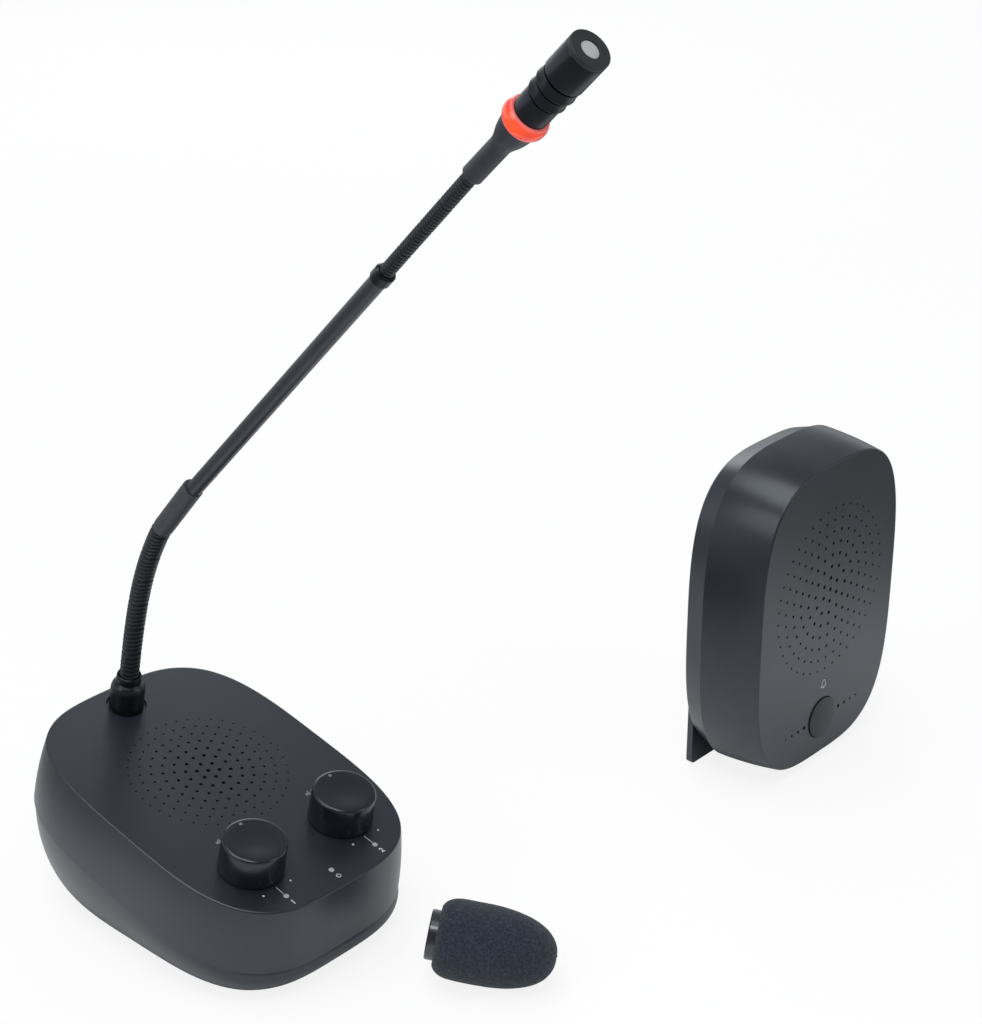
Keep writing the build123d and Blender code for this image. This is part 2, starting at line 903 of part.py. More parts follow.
# ================================================================ sockets and power switch
def socket_body(mouth, bore_radius, bore_depth):
    """A panel socket whose mouth frame points out of the wall."""
    extrude(
        to_extrude=circles(mouth, socket_barrel_radius),
        amount=-socket_barrel_length - socket_proud,
    )
    with BuildSketch(mouth.offset(-socket_barrel_length - socket_proud)) as block:
        Rectangle(2 * socket_body_half, 2 * socket_body_half)
    extrude(to_extrude=block.sketch, amount=-socket_body_length)
    extrude(to_extrude=circles(mouth, bore_radius), amount=-bore_depth, mode=Mode.SUBTRACT)


def rear_mouth(x):
    """Frame of a socket's mouth on the desk station's rear wall."""
    return Plane(
        origin=(x, socket_y + socket_proud, socket_height), x_dir=(-1, 0, 0), z_dir=(0, 1, 0)
    )


with BuildPart() as power_inlet:
    power_mouth = rear_mouth(-socket_x)
    socket_body(power_mouth, power_bore_radius, power_bore_depth)
    extrude(
        to_extrude=circles(power_mouth.offset(-power_bore_depth), power_pin_radius),
        amount=power_bore_depth - power_pin_inset,
    )

with BuildPart() as desk_link_socket:
    socket_body(rear_mouth(socket_x), link_bore_radius, link_bore_depth)

rocker_pivot = switch_frame.offset(-rocker_pivot_depth)

with BuildPart() as power_switch_frame:
    with BuildSketch(switch_frame):
        Rectangle(
            2 * (switch_half_width + switch_bezel_rim), 2 * (switch_half_height + switch_bezel_rim)
        )
    extrude(amount=switch_bezel)
    with BuildSketch(switch_frame):
        Rectangle(2 * switch_half_width, 2 * switch_half_height)
    extrude(amount=-switch_body_depth)
    rocker_room = switch_half_width - switch_bezel_rim
    with BuildSketch(switch_frame.offset(switch_bezel)):
        Rectangle(2 * rocker_room, 2 * (switch_half_height - switch_bezel_rim))
    extrude(amount=-switch_bezel - switch_body_depth + switch_bezel_rim, mode=Mode.SUBTRACT)
    with Locations(rocker_pivot.location * Rot(0, 90, 0)):
        Cylinder(
            rocker_pin_radius + running_clearance,
            2 * (rocker_room + rocker_pin_length + running_clearance),
            mode=Mode.SUBTRACT,
        )

rocker_half_width = switch_half_width - switch_bezel_rim - rocker_clearance
rocker_half_height = switch_half_height - switch_bezel_rim - rocker_end_gap

with BuildPart() as power_rocker:
    rocker_turn = radians(-rocker_swing / 2)
    rocker_side = Plane(
        origin=rocker_pivot.origin,
        x_dir=rocker_pivot.y_dir * cos(rocker_turn) + rocker_pivot.z_dir * sin(rocker_turn),
        z_dir=rocker_pivot.x_dir,
    )
    rocker_top = rocker_pivot_depth + switch_bezel + rocker_rise
    rocker_foot = 2 * rocker_pin_radius
    with BuildSketch(rocker_side):
        with BuildLine():
            Polyline(
                (-rocker_half_height, rocker_top),
                (0, rocker_top - rocker_dip),
                (rocker_half_height, rocker_top),
                (rocker_foot, -rocker_pin_radius),
                (-rocker_foot, -rocker_pin_radius),
                close=True,
            )
        make_face()
    extrude(amount=rocker_half_width, both=True)
    with Locations(rocker_pivot.location * Rot(0, 90, 0)):
        Cylinder(rocker_pin_radius, 2 * (rocker_room + rocker_pin_length))


# ================================================================ gooseneck
def ribbed_side(radius, low, high):
    """Profile points up the outside of a flexible link, with a groove between ribs."""
    ribs = max(1, round((high - low) / rib_pitch))
    pitch = (high - low) / ribs
    points = [(radius, low)]
    for rib in range(ribs):
        groove = low + (rib + 0.5) * pitch
        points.append((radius - rib_depth, groove))
        points.append((radius, groove + pitch / 2))
    return points


def add_ball(frame, ball_radius, neck_radius_here, shoulder):
    """Ball at a joint and the neck that carries it."""
    with Locations(frame.location):
        Sphere(ball_radius)
    extrude(to_extrude=circles(frame, neck_radius_here), amount=shoulder + neck_radius_here)


def cut_socket(frame, ball_radius):
    """Hollow for the next link's ball."""
    with Locations(frame.location):
        Sphere(ball_radius + ball_clearance, mode=Mode.SUBTRACT)


def make_link(frame, length, radius, ball_radius, neck_radius_here, rim, shoulder):
    """A ribbed gooseneck link from its own ball up to the socket for the next one."""
    with BuildPart() as link:
        side = ribbed_side(radius, shoulder, length + rim)
        turn_profile(frame, [(0, shoulder), *side, (0, length + rim)])
        add_ball(frame, ball_radius, neck_radius_here, shoulder)
        cut_socket(frame.offset(length), ball_radius)
    return link.part


def chain_frames(start, start_angle, turns, length):
    """Joint frames of a chain: each link turns on from the last one."""
    frames = []
    point = start
    angle = start_angle
    for turn in turns:
        angle += turn
        frames.append(leaning(point, angle))
        point = frames[-1].from_local_coords((0, 0, length))
    return frames, point, angle


boot_frame = shifted(desk_face, y=gooseneck_y)
first_joint = boot_frame.from_local_coords((0, 0, boot_height - lower_rim))
lower_frames, sleeve_joint, lower_angle = chain_frames(
    first_joint, desk_slope, lower_turns, lower_link_length
)
sleeve_frame = leaning(sleeve_joint, lower_angle + sleeve_turn)
stem_foot = sleeve_frame.from_local_coords((0, 0, sleeve_length - sleeve_grip))
stem_frame = leaning(stem_foot, lower_angle + sleeve_turn + stem_turn)
collar_frame = stem_frame.offset(stem_length)
upper_joint = collar_frame.from_local_coords((0, 0, collar_length - upper_rim))
stem_angle = lower_angle + sleeve_turn + stem_turn
upper_turns = [0.0] * upper_links
upper_frames, neck_joint, upper_angle = chain_frames(
    upper_joint, stem_angle, upper_turns, upper_link_length
)
neck_frame = leaning(neck_joint, upper_angle + neck_turn)

with BuildPart() as gooseneck_stud:
    turn_profile(
        boot_frame,
        [
            (0, -stud_depth),
            (stud_radius, -stud_depth),
            (stud_radius, -boot_recess_depth),
            (stud_flange_radius, -boot_recess_depth),
            (stud_flange_radius, stud_flange_height - boot_recess_depth),
            (stud_column_radius, stud_flange_height - boot_recess_depth),
            (stud_column_radius, boot_height),
            (0, boot_height),
        ],
    )
    cut_socket(lower_frames[0], lower_ball_radius)

with BuildPart() as gooseneck_boot:
    boot_side = Plane(origin=boot_frame.origin, x_dir=boot_frame.x_dir, z_dir=-boot_frame.y_dir)
    boot_bore = stud_column_radius + boot_wall_clearance
    boot_seat = stud_flange_height - boot_recess_depth + boot_wall_clearance
    skirt_bore = stud_flange_radius + boot_wall_clearance
    with BuildSketch(boot_side):
        with BuildLine():
            Polyline(
                (boot_mouth_radius, boot_height),
                (boot_bore, boot_height),
                (boot_bore, boot_seat),
                (skirt_bore, boot_seat),
                (skirt_bore, -boot_recess_depth),
                (boot_radius, -boot_recess_depth),
                (boot_radius, boot_straight),
            )
            ThreePointArc(
                (boot_radius, boot_straight),
                (boot_waist_radius, boot_waist_height),
                (boot_mouth_radius, boot_height),
            )
        make_face()
    revolve(axis=Axis(boot_frame.origin, boot_frame.z_dir))

with BuildPart() as gooseneck_nut:
    nut_top = -face_wall - stud_pad_thickness
    with BuildSketch(boot_frame.offset(nut_top)):
        RegularPolygon(nut_across_flats / 2, 6, major_radius=False)
        Circle(stud_radius + screw_clearance, mode=Mode.SUBTRACT)
    extrude(amount=-nut_height)

lower_flex_links = [
    make_link(
        frame,
        lower_link_length,
        lower_flex_radius,
        lower_ball_radius,
        lower_neck_radius,
        lower_rim,
        lower_shoulder,
    )
    for frame in lower_frames
]

with BuildPart() as elbow_sleeve:
    turn_profile(
        sleeve_frame,
        [
            (0, lower_shoulder),
            (lower_flex_radius, lower_shoulder),
            (sleeve_radius, lower_shoulder + 3 * sleeve_edge_radius),
            (sleeve_radius, sleeve_length),
            (0, sleeve_length),
        ],
    )
    sleeve_end = elbow_sleeve.faces().sort_by(Axis(sleeve_frame.origin, sleeve_frame.z_dir))[-1]
    fillet(sleeve_end.edges(), sleeve_edge_radius / 2)
    add_ball(sleeve_frame, lower_ball_radius, lower_neck_radius, lower_shoulder)
    extrude(
        to_extrude=circles(stem_frame, stem_radius + stem_clearance),
        amount=2 * sleeve_grip,
        mode=Mode.SUBTRACT,
    )

with BuildPart() as stem_tube:
    with BuildSketch(stem_frame):
        Circle(stem_radius)
        Circle(stem_radius - stem_wall, mode=Mode.SUBTRACT)
    extrude(amount=stem_length)

with BuildPart() as stem_collar:
    spigot = stem_radius - stem_wall - stem_clearance
    turn_profile(
        collar_frame,
        [
            (0, -collar_spigot),
            (spigot, -collar_spigot),
            (spigot, 0),
            (collar_radius, 0),
            (collar_radius, collar_length - stem_wall),
            (collar_radius - stem_wall, collar_length),
            (0, collar_length),
        ],
    )
    cut_socket(upper_frames[0], upper_ball_radius)

upper_flex_links = [
    make_link(
        frame,
        upper_link_length,
        upper_flex_radius,
        upper_ball_radius,
        upper_neck_radius,
        upper_rim,
        upper_shoulder,
    )
    for frame in upper_frames
]

# ================================================================ microphone head
cone_top = neck_sleeve_length + cone_length
ring_top = cone_top + ring_length

with BuildPart() as mic_neck:
    neck_side = Plane(origin=neck_frame.origin, x_dir=neck_frame.x_dir, z_dir=-neck_frame.y_dir)
    with BuildSketch(neck_side):
        with BuildLine():
            Polyline(
                (cone_radius, cone_top),
                (0, cone_top),
                (0, upper_shoulder),
                (upper_flex_radius, upper_shoulder),
                (neck_radius, 2 * upper_shoulder),
                (neck_radius, neck_sleeve_length),
            )
            Spline(
                (neck_radius, neck_sleeve_length),
                (
                    between(neck_radius, cone_radius, flare_share),
                    between(neck_sleeve_length, cone_top, flare_place),
                ),
                (cone_radius, cone_top),
                tangents=((0, 1), (flare_slope, 1)),
            )
        make_face()
    revolve(axis=Axis(neck_frame.origin, neck_frame.z_dir))
    add_ball(neck_frame, upper_ball_radius, upper_neck_radius, upper_shoulder)
    extrude(
        to_extrude=circles(neck_frame.offset(cone_top), spigot_radius + spigot_clearance),
        amount=ring_length - spigot_length - spigot_clearance,
        mode=Mode.SUBTRACT,
    )

with BuildPart() as light_ring:
    with BuildSketch(neck_side):
        with BuildLine():
            Polyline(
                (ring_end_radius, ring_top),
                (ring_bore, ring_top),
                (ring_bore, cone_top),
                (ring_end_radius, cone_top),
            )
            ThreePointArc(
                (ring_end_radius, cone_top),
                (ring_radius, cone_top + ring_length / 2),
                (ring_end_radius, ring_top),
            )
        make_face()
    revolve(axis=Axis(neck_frame.origin, neck_frame.z_dir))

with BuildPart() as ring_light_board:
    with BuildSketch(neck_frame.offset(cone_top)):
        Circle(ring_board_radius)
        Circle(ring_board_bore, mode=Mode.SUBTRACT)
    extrude(amount=ring_board_thickness)

barrel_top = ring_top + barrel_length


def barrel_side():
    """Outside of the barrel: stepped collars that each widen and then drop back."""
    points = [(barrel_foot_radius, ring_top)]
    for step in range(barrel_steps):
        foot = ring_top + barrel_step_start + step * barrel_step_pitch
        lip = between(barrel_foot_radius, barrel_radius, (step + 1) / (barrel_steps + 1))
        crest = between(lip, barrel_radius, barrel_crest_share)
        points.append((crest, foot))
        points.append((crest - barrel_step_depth, foot + barrel_groove_start))
        points.append((crest - barrel_step_depth, foot + barrel_groove_end))
    points.append((barrel_radius, foot + barrel_groove_rise))
    points.append((barrel_radius, barrel_top))
    return points


with BuildPart() as mic_barrel:
    turn_profile(
        neck_frame,
        [
            (0, ring_top),
            *barrel_side(),
            (barrel_bore, barrel_top),
            (barrel_bore, barrel_top - barrel_bore_depth),
            (0, barrel_top - barrel_bore_depth),
        ],
    )
    extrude(
        to_extrude=circles(neck_frame.offset(ring_top), spigot_radius),
        amount=-spigot_length,
    )

with BuildPart() as mic_end_ring:
    capsule_pocket = capsule_radius + capsule_clearance
    ring_spigot = barrel_bore - spigot_clearance
    turn_profile(
        neck_frame,
        [
            (capsule_pocket, barrel_top - capsule_height),
            (ring_spigot, barrel_top - capsule_height),
            (ring_spigot, barrel_top),
            (barrel_radius, barrel_top),
            (barrel_radius, barrel_top + end_ring_height - end_ring_edge),
            (barrel_radius - end_ring_edge, barrel_top + end_ring_height),
            (end_ring_window, barrel_top + end_ring_height),
            (end_ring_window, barrel_top + end_ring_edge),
            (capsule_pocket, barrel_top + end_ring_edge),
        ],
    )

with BuildPart() as mic_capsule:
    extrude(
        to_extrude=circles(neck_frame.offset(barrel_top + end_ring_edge), capsule_radius),
        amount=-capsule_height,
    )

# ================================================================ outer station: housing
outer_board_plane = outer_face.offset(-outer_board_depth)
rear_plane = outer_face.offset(-shell_depth - rear_depth)
mic_hole_places = [
    (side * (mic_hole_start + step * mic_hole_pitch), button_y, step)
    for side in (-1, 1)
    for step in range(mic_hole_count)
]
outer_mic_x = mic_hole_start + outer_mic_shift
outer_post_places = [(-outer_post_x, outer_post_y), (outer_post_x, outer_post_y)]
guide_bore = button_flange_radius + button_guide_clearance

with BuildPart() as outer_front_shell:
    add(make_shell(outer_face))
    extrude(
        to_extrude=circles(outer_face.offset(-shell_depth), boss_radius, outer_screw_places),
        amount=shell_depth - face_wall / 2,
    )
    outer_seat_plane = shifted(outer_face, y=outer_grille_y, z=-face_wall - speaker_seat_height)
    outer_seat = circles(outer_seat_plane, seat_radius + speaker_seat_wall)
    outer_seat -= circles(outer_seat_plane, seat_radius)
    extrude(to_extrude=outer_seat, amount=speaker_seat_height + face_wall / 2)
    guide_plane = shifted(outer_face, y=button_y, z=-face_wall - button_guide_length)
    guide = circles(guide_plane, guide_bore + button_guide_wall) - circles(guide_plane, guide_bore)
    extrude(to_extrude=guide, amount=button_guide_length + face_wall / 2)
    extrude(
        to_extrude=circles(outer_board_plane, post_radius, outer_post_places),
        amount=outer_board_depth - face_wall / 2,
    )
    extrude(
        to_extrude=circles(
            outer_board_plane.offset(-cut_over), board_screw_radius + screw_clearance, outer_post_places
        ),
        amount=board_screw_length + cut_over,
        mode=Mode.SUBTRACT,
    )
    extrude(
        to_extrude=circles(
            outer_face.offset(-shell_depth - cut_over), screw_radius + screw_clearance, outer_screw_places
        ),
        amount=pilot_depth + cut_over,
        mode=Mode.SUBTRACT,
    )
    extrude(
        to_extrude=grille_holes(
            outer_face, outer_grille_y, outer_grille_pitch, outer_hole_radius, outer_rim_hole_radius
        ),
        amount=-face_cut,
        mode=Mode.SUBTRACT,
    )
    extrude(
        to_extrude=circles(
            outer_face.offset(cut_over), button_radius + button_clearance, [(0, button_y)]
        ),
        amount=-face_cut,
        mode=Mode.SUBTRACT,
    )
    with BuildSketch(outer_face.offset(cut_over)) as mic_holes:
        for x, y, step in mic_hole_places:
            with Locations((x, y)):
                RegularPolygon(
                    between(mic_hole_radius, mic_hole_last_radius, step / (mic_hole_count - 1)),
                    hole_sides,
                )
    extrude(to_extrude=mic_holes.sketch, amount=-face_cut, mode=Mode.SUBTRACT)

outer_socket_mouth = Plane(
    origin=rear_plane.from_local_coords((-socket_x, outer_socket_y, -socket_proud)),
    x_dir=(-1, 0, 0),
    z_dir=(0, 1, 0),
)

with BuildPart() as outer_rear_cover:
    rear_outline = squircle(rear_plane, rear_half_width, rear_half_length, girth_power)
    loft(sections=[cover_outline(outer_face), rear_outline])
    fillet(outer_rear_cover.faces().sort_by(Axis.Y)[-1].edges(), rear_edge_radius)
    loft(
        sections=[
            cover_outline(outer_face, cover_wall),
            squircle(
                rear_plane.offset(cover_floor),
                rear_half_width - cover_wall,
                rear_half_length - cover_wall,
                girth_power,
            ),
        ],
        mode=Mode.SUBTRACT,
    )
    extrude(to_extrude=lip_ring(outer_face), amount=lip_height + cut_over)
    extrude(
        to_extrude=circles(outer_face.offset(-shell_depth), pillar_radius, outer_screw_places),
        amount=-rear_depth + cover_floor / 2,
    )
    extrude(
        to_extrude=circles(
            outer_face.offset(cut_over - shell_depth), screw_radius + screw_clearance, outer_screw_places
        ),
        amount=-rear_depth - 2 * cut_over,
        mode=Mode.SUBTRACT,
    )
    extrude(
        to_extrude=circles(
            outer_face.offset(-screw_seat_depth),
            screw_head_radius + screw_head_clearance,
            outer_screw_places,
        ),
        amount=-rear_depth,
        mode=Mode.SUBTRACT,
    )
    extrude(
        to_extrude=circles(
            outer_socket_mouth.offset(cut_over), socket_barrel_radius + socket_wall_clearance
        ),
        amount=-cut_over - 2 * cover_wall,
        mode=Mode.SUBTRACT,
    )
    hook_places = [(side * bracket_hook_spacing / 2, -bracket_window) for side in (-1, 1)]
    with BuildSketch(rear_plane.offset(-cut_over)):
        with Locations(*hook_places):
            Rectangle(
                bracket_hook_width + 2 * bracket_clearance, bracket_window + 2 * bracket_clearance
            )
    extrude(amount=cut_over + cover_floor / 2, mode=Mode.SUBTRACT)

with BuildPart() as outer_wall_bracket:
    bracket_low = -girth_half_length
    bracket_height = bracket_top - bracket_low
    with BuildSketch(rear_plane):
        with Locations((0, bracket_low + bracket_height / 2)):
            Rectangle(2 * bracket_half_width, bracket_height)
        fillet(vertices(), bracket_clearance + rear_edge_radius)
        with Locations((0, -bracket_hole_drop)):
            with GridLocations(bracket_hole_spacing, 1, 2, 1):
                Circle(bracket_hole_radius, mode=Mode.SUBTRACT)
    extrude(amount=-bracket_thickness)
    with BuildSketch(rear_plane):
        with Locations(*hook_places):
            Rectangle(bracket_hook_width, bracket_window)
    extrude(amount=cover_floor / 2 - bracket_clearance)

outer_cover_screws = screw_solids(
    outer_screw_places, outer_face, screw_seat_depth, screw_web + screw_bite
)

outer_speaker_frame, outer_speaker_cone, outer_speaker_magnet = make_speaker(
    outer_face, outer_grille_y
)

# ================================================================ outer station: button and board
button_frame = shifted(outer_face, y=button_y)
stem_tip = -outer_board_depth + call_switch_height + switch_stem_length - button_travel

with BuildPart() as call_button:
    cap_side = Plane(origin=button_frame.origin, x_dir=button_frame.x_dir, z_dir=-button_frame.y_dir)
    flange_top = -face_wall - button_stop_gap
    flange_back = flange_top - button_flange_thickness
    with BuildSketch(cap_side):
        with BuildLine():
            Polyline(
                (button_radius, button_rise),
                (button_radius, flange_top),
                (button_flange_radius, flange_top),
                (button_flange_radius, flange_back),
                (plunger_radius, flange_back),
                (plunger_radius, stem_tip),
                (0, stem_tip),
                (0, button_rise + button_dome),
            )
            ThreePointArc(
                (0, button_rise + button_dome),
                (button_dome_radius, button_rise + button_dome_height),
                (button_radius, button_rise),
            )
        make_face()
    revolve(axis=Axis(button_frame.origin, button_frame.z_dir))

with BuildPart() as outer_main_board:
    with BuildSketch(outer_board_plane):
        outer_board_length = outer_board_high_y - outer_board_low_y
        with Locations((0, outer_board_low_y + outer_board_length / 2)):
            Rectangle(2 * outer_board_half_width, outer_board_length)
        chamfer(vertices().group_by(Axis.Z)[0], outer_board_corner)
        with Locations(*outer_post_places):
            Circle(board_screw_radius + screw_clearance, mode=Mode.SUBTRACT)
    extrude(amount=-board_thickness)
    with BuildSketch(outer_board_plane.offset(-board_thickness)):
        with Locations((0, button_y)):
            Rectangle(chip_width, chip_width)
    extrude(amount=-chip_height)

with BuildPart() as outer_board_screws:
    outer_heads_plane = outer_board_plane.offset(-board_thickness)
    extrude(
        to_extrude=circles(outer_heads_plane, board_screw_head_radius, outer_post_places),
        amount=-board_screw_head,
    )
    extrude(
        to_extrude=circles(outer_heads_plane, board_screw_radius, outer_post_places),
        amount=board_thickness + board_screw_length - cut_over,
    )

with BuildPart() as call_switch_body:
    call_switch_foot = shifted(outer_face, y=button_y, z=-outer_board_depth)
    with BuildSketch(call_switch_foot):
        Rectangle(2 * call_switch_half, 2 * call_switch_half)
    extrude(amount=call_switch_height)
    extrude(
        to_extrude=circles(
            call_switch_foot.offset(call_switch_floor), switch_stem_radius + switch_stem_clearance
        ),
        amount=call_switch_height,
        mode=Mode.SUBTRACT,
    )

with BuildPart() as call_switch_stem:
    stem_foot_height = call_switch_floor + button_travel + switch_stem_clearance
    stem_top_height = call_switch_height + switch_stem_length - button_travel
    extrude(
        to_extrude=circles(call_switch_foot.offset(stem_foot_height), switch_stem_radius),
        amount=stem_top_height - stem_foot_height,
    )

with BuildPart() as outer_microphone:
    outer_mic_plane = outer_face.offset(-face_wall - outer_mic_gap)
    extrude(
        to_extrude=circles(outer_mic_plane, outer_mic_radius, [(outer_mic_x, button_y)]),
        amount=-outer_mic_height,
    )

with BuildPart() as outer_link_socket:
    socket_body(outer_socket_mouth, link_bore_radius, link_bore_depth)

# ================================================================ foam windscreen
def nose_point(share):
    """Point (radius, distance) of the round end, from the widest place to the tip."""
    turn = share * pi / 2
    radius = windscreen_radius * cos(turn) ** (2 / windscreen_nose_power)
    run = (windscreen_length - windscreen_middle) * sin(turn) ** (2 / windscreen_nose_power)
    return (radius, windscreen_middle + run)


nose_points = [nose_point(step / windscreen_nose_points) for step in range(windscreen_nose_points)]
dip = radians(windscreen_dip)
yaw = radians(windscreen_yaw)
rest_height = max(
    nose_point(step / 90)[0] * cos(dip) + nose_point(step / 90)[1] * sin(dip) for step in range(90)
)
windscreen_frame = Plane(
    origin=(windscreen_x, windscreen_y, rest_height),
    x_dir=(sin(dip) * cos(yaw), sin(dip) * sin(yaw), cos(dip)),
    z_dir=(cos(dip) * cos(yaw), cos(dip) * sin(yaw), -sin(dip)),
)
windscreen_side = Plane(
    origin=windscreen_frame.origin, x_dir=windscreen_frame.x_dir, z_dir=-windscreen_frame.y_dir
)

with BuildPart() as windscreen_foam:
    with BuildSketch(windscreen_side):
        with BuildLine():
            ThreePointArc(
                (windscreen_shoulder, 0),
                (
                    between(windscreen_shoulder, windscreen_radius, windscreen_swell),
                    windscreen_middle * windscreen_swell_place,
                ),
                (windscreen_radius, windscreen_middle),
            )
            Spline(*nose_points, (0, windscreen_length), tangents=((0, 1), (-1, 0)))
            Polyline(
                (0, windscreen_length),
                (0, windscreen_bore_depth),
                (windscreen_bore, windscreen_bore_depth),
                (windscreen_bore, windscreen_collar_seat),
                (windscreen_collar_radius, windscreen_collar_seat),
                (windscreen_collar_radius, 0),
                (windscreen_shoulder, 0),
            )
        make_face()
    revolve(axis=Axis(windscreen_frame.origin, windscreen_frame.z_dir))

with BuildPart() as windscreen_collar:
    turn_profile(
        windscreen_frame,
        [
            (windscreen_bore, -windscreen_collar_length),
            (windscreen_collar_radius - windscreen_collar_edge, -windscreen_collar_length),
            (windscreen_collar_radius, -windscreen_collar_length + windscreen_collar_edge),
            (windscreen_collar_radius, windscreen_collar_seat),
            (windscreen_bore, windscreen_collar_seat),
        ],
    )

# ================================================================ pieces
pieces = {
    "desk_top_shell": desk_top_shell.part,
    "desk_bottom_cover": desk_bottom_cover.part,
    "desk_base_pad": desk_base_pad.part,
    "desk_cover_screws": desk_cover_screws,
    "desk_speaker_frame": desk_speaker_frame,
    "desk_speaker_cone": desk_speaker_cone,
    "desk_speaker_magnet": desk_speaker_magnet,
    "desk_control_board": desk_control_board.part,
    "desk_main_board": desk_main_board.part,
    "desk_board_screws": desk_board_screws.part,
    "indicator_lenses": indicator_lenses.part,
    "volume_pot_left": volume_pot_left,
    "volume_shaft_left": volume_shaft_left,
    "volume_knob_left": volume_knob_left,
    "volume_pot_right": volume_pot_right,
    "volume_shaft_right": volume_shaft_right,
    "volume_knob_right": volume_knob_right,
    "power_inlet": power_inlet.part,
    "desk_link_socket": desk_link_socket.part,
    "power_switch_frame": power_switch_frame.part,
    "power_rocker": power_rocker.part,
    "gooseneck_stud": gooseneck_stud.part,
    "gooseneck_boot": gooseneck_boot.part,
    "gooseneck_nut": gooseneck_nut.part,
    "elbow_sleeve": elbow_sleeve.part,
    "stem_tube": stem_tube.part,
    "stem_collar": stem_collar.part,
    "mic_neck": mic_neck.part,
    "light_ring": light_ring.part,
    "ring_light_board": ring_light_board.part,
    "mic_barrel": mic_barrel.part,
    "mic_end_ring": mic_end_ring.part,
    "mic_capsule": mic_capsule.part,
    "outer_front_shell": outer_front_shell.part,
    "outer_rear_cover": outer_rear_cover.part,
    "outer_wall_bracket": outer_wall_bracket.part,
    "outer_cover_screws": outer_cover_screws,
    "outer_speaker_frame": outer_speaker_frame,
    "outer_speaker_cone": outer_speaker_cone,
    "outer_speaker_magnet": outer_speaker_magnet,
    "outer_main_board": outer_main_board.part,
    "outer_board_screws": outer_board_screws.part,
    "call_button": call_button.part,
    "call_switch_body": call_switch_body.part,
    "call_switch_stem": call_switch_stem.part,
    "outer_microphone": outer_microphone.part,
    "outer_link_socket": outer_link_socket.part,
    "windscreen_foam": windscreen_foam.part,
    "windscreen_collar": windscreen_collar.part,
}
for number, link in enumerate(lower_flex_links, start=1):
    pieces[f"lower_flex_link_{number}"] = link
for number, link in enumerate(upper_flex_links, start=1):
    pieces[f"upper_flex_link_{number}"] = link

for name, piece in pieces.items():
    piece.label = name
    export_step(piece, f"parts/{name}.step")
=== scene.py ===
"""Looks of the teller window intercom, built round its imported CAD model. Metres."""

import json
from math import cos, pi, radians, sin, sqrt

import bmesh
import bpy
from mathutils import Matrix, Vector, noise
from mathutils.bvhtree import BVHTree

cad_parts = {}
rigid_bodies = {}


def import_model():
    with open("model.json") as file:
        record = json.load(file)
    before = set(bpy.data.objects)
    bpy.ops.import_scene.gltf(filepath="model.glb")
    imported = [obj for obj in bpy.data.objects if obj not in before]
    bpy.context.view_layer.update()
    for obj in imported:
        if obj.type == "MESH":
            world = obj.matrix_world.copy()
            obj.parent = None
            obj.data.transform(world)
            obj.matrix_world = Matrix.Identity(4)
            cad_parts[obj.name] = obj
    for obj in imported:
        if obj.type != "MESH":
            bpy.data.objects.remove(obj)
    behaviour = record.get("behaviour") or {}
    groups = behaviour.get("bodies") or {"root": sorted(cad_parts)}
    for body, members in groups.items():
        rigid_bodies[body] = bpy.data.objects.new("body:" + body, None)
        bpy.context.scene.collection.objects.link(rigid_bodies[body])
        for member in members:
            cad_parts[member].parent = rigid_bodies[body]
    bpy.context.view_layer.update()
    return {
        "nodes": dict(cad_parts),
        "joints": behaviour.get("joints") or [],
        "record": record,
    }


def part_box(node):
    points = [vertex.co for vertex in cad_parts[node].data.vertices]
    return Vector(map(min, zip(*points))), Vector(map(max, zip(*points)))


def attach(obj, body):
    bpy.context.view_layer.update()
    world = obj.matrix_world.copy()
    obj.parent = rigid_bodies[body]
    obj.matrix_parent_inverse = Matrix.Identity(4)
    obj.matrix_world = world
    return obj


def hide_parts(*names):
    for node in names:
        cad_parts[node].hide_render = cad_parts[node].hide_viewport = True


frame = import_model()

nodes = frame["nodes"]
joints = {joint["name"]: joint for joint in frame["joints"]}
bends = {(joint["parent"], joint["child"]): joint for joint in frame["joints"]}

MM = 0.001
SMOOTH_ANGLE = radians(35)
ACROSS = Vector((1, 0, 0))

# Camera, found from the outlines of the desk station
CAMERA_PLACE = Vector((-0.52202, -0.62725, 0.55429))
CAMERA_AZIMUTH = radians(-48.011)
CAMERA_ELEVATION = radians(24.457)
CAMERA_LENS = 77.34
SENSOR = 36.0

# Studio: light levels, and what the gloss mirrors
AMBIENT = 0.45
SUN_POWER = 0.95
KEY_POWER = 7.0
FRONT_POWER = 3.5
RIM_POWER = 5.0
OVERHEAD_POWER = 4.0
SWEEP_TOP = (0.05, 0.55)  # heights between which the white sweep fades
CEILING = 0.3
DARK_SIDE = (0.1, 0.75)
DARK_SIDE_LEVEL = 0.25
REFLECTED_FLOOR_EDGE = (0.11, 0.3)  # metres from a station over which the floor, seen in gloss, fades to a painted darker glow
# painted shade in reflections: the floor beyond that reach shows in gloss as this dim glow
REFLECTED_FLOOR_SHADE = 0.3
SKY = (0.94, 0.97, 1.0)
FLOOR_WHITENESS = 0.85  # share of white that the camera sees over the floor's own shade
FLOOR_DROP = 0.0002
FLOOR_CORNERS = ((-8, -8), (8, -8), (8, 8), (-8, 8))

# Colours and scales of the materials, with scales per metre
BLACK = (0, 0, 0)
WHITE = (1, 1, 1)
COOL = (0.84, 0.92, 1.0, 1)  # tint of the blacks' gloss
TONE_SCALE = 25
LATHE_RINGS = 5200
FOAM_CELLS = 950
RING_LAMPS = 150
RING_CORE = ((0.72, 0.04, 0.045), (0.95, 0.085, 0.02))
# painted highlight: pale colour laid along the ring's two edges, in its colour and its glow
RING_PAINTED_SHEEN = (0.88, 0.17, 0.16, 1)
RING_SHEEN_FADE = (0.0, 0.72, 0.98)
RING_GLOW = 0.2

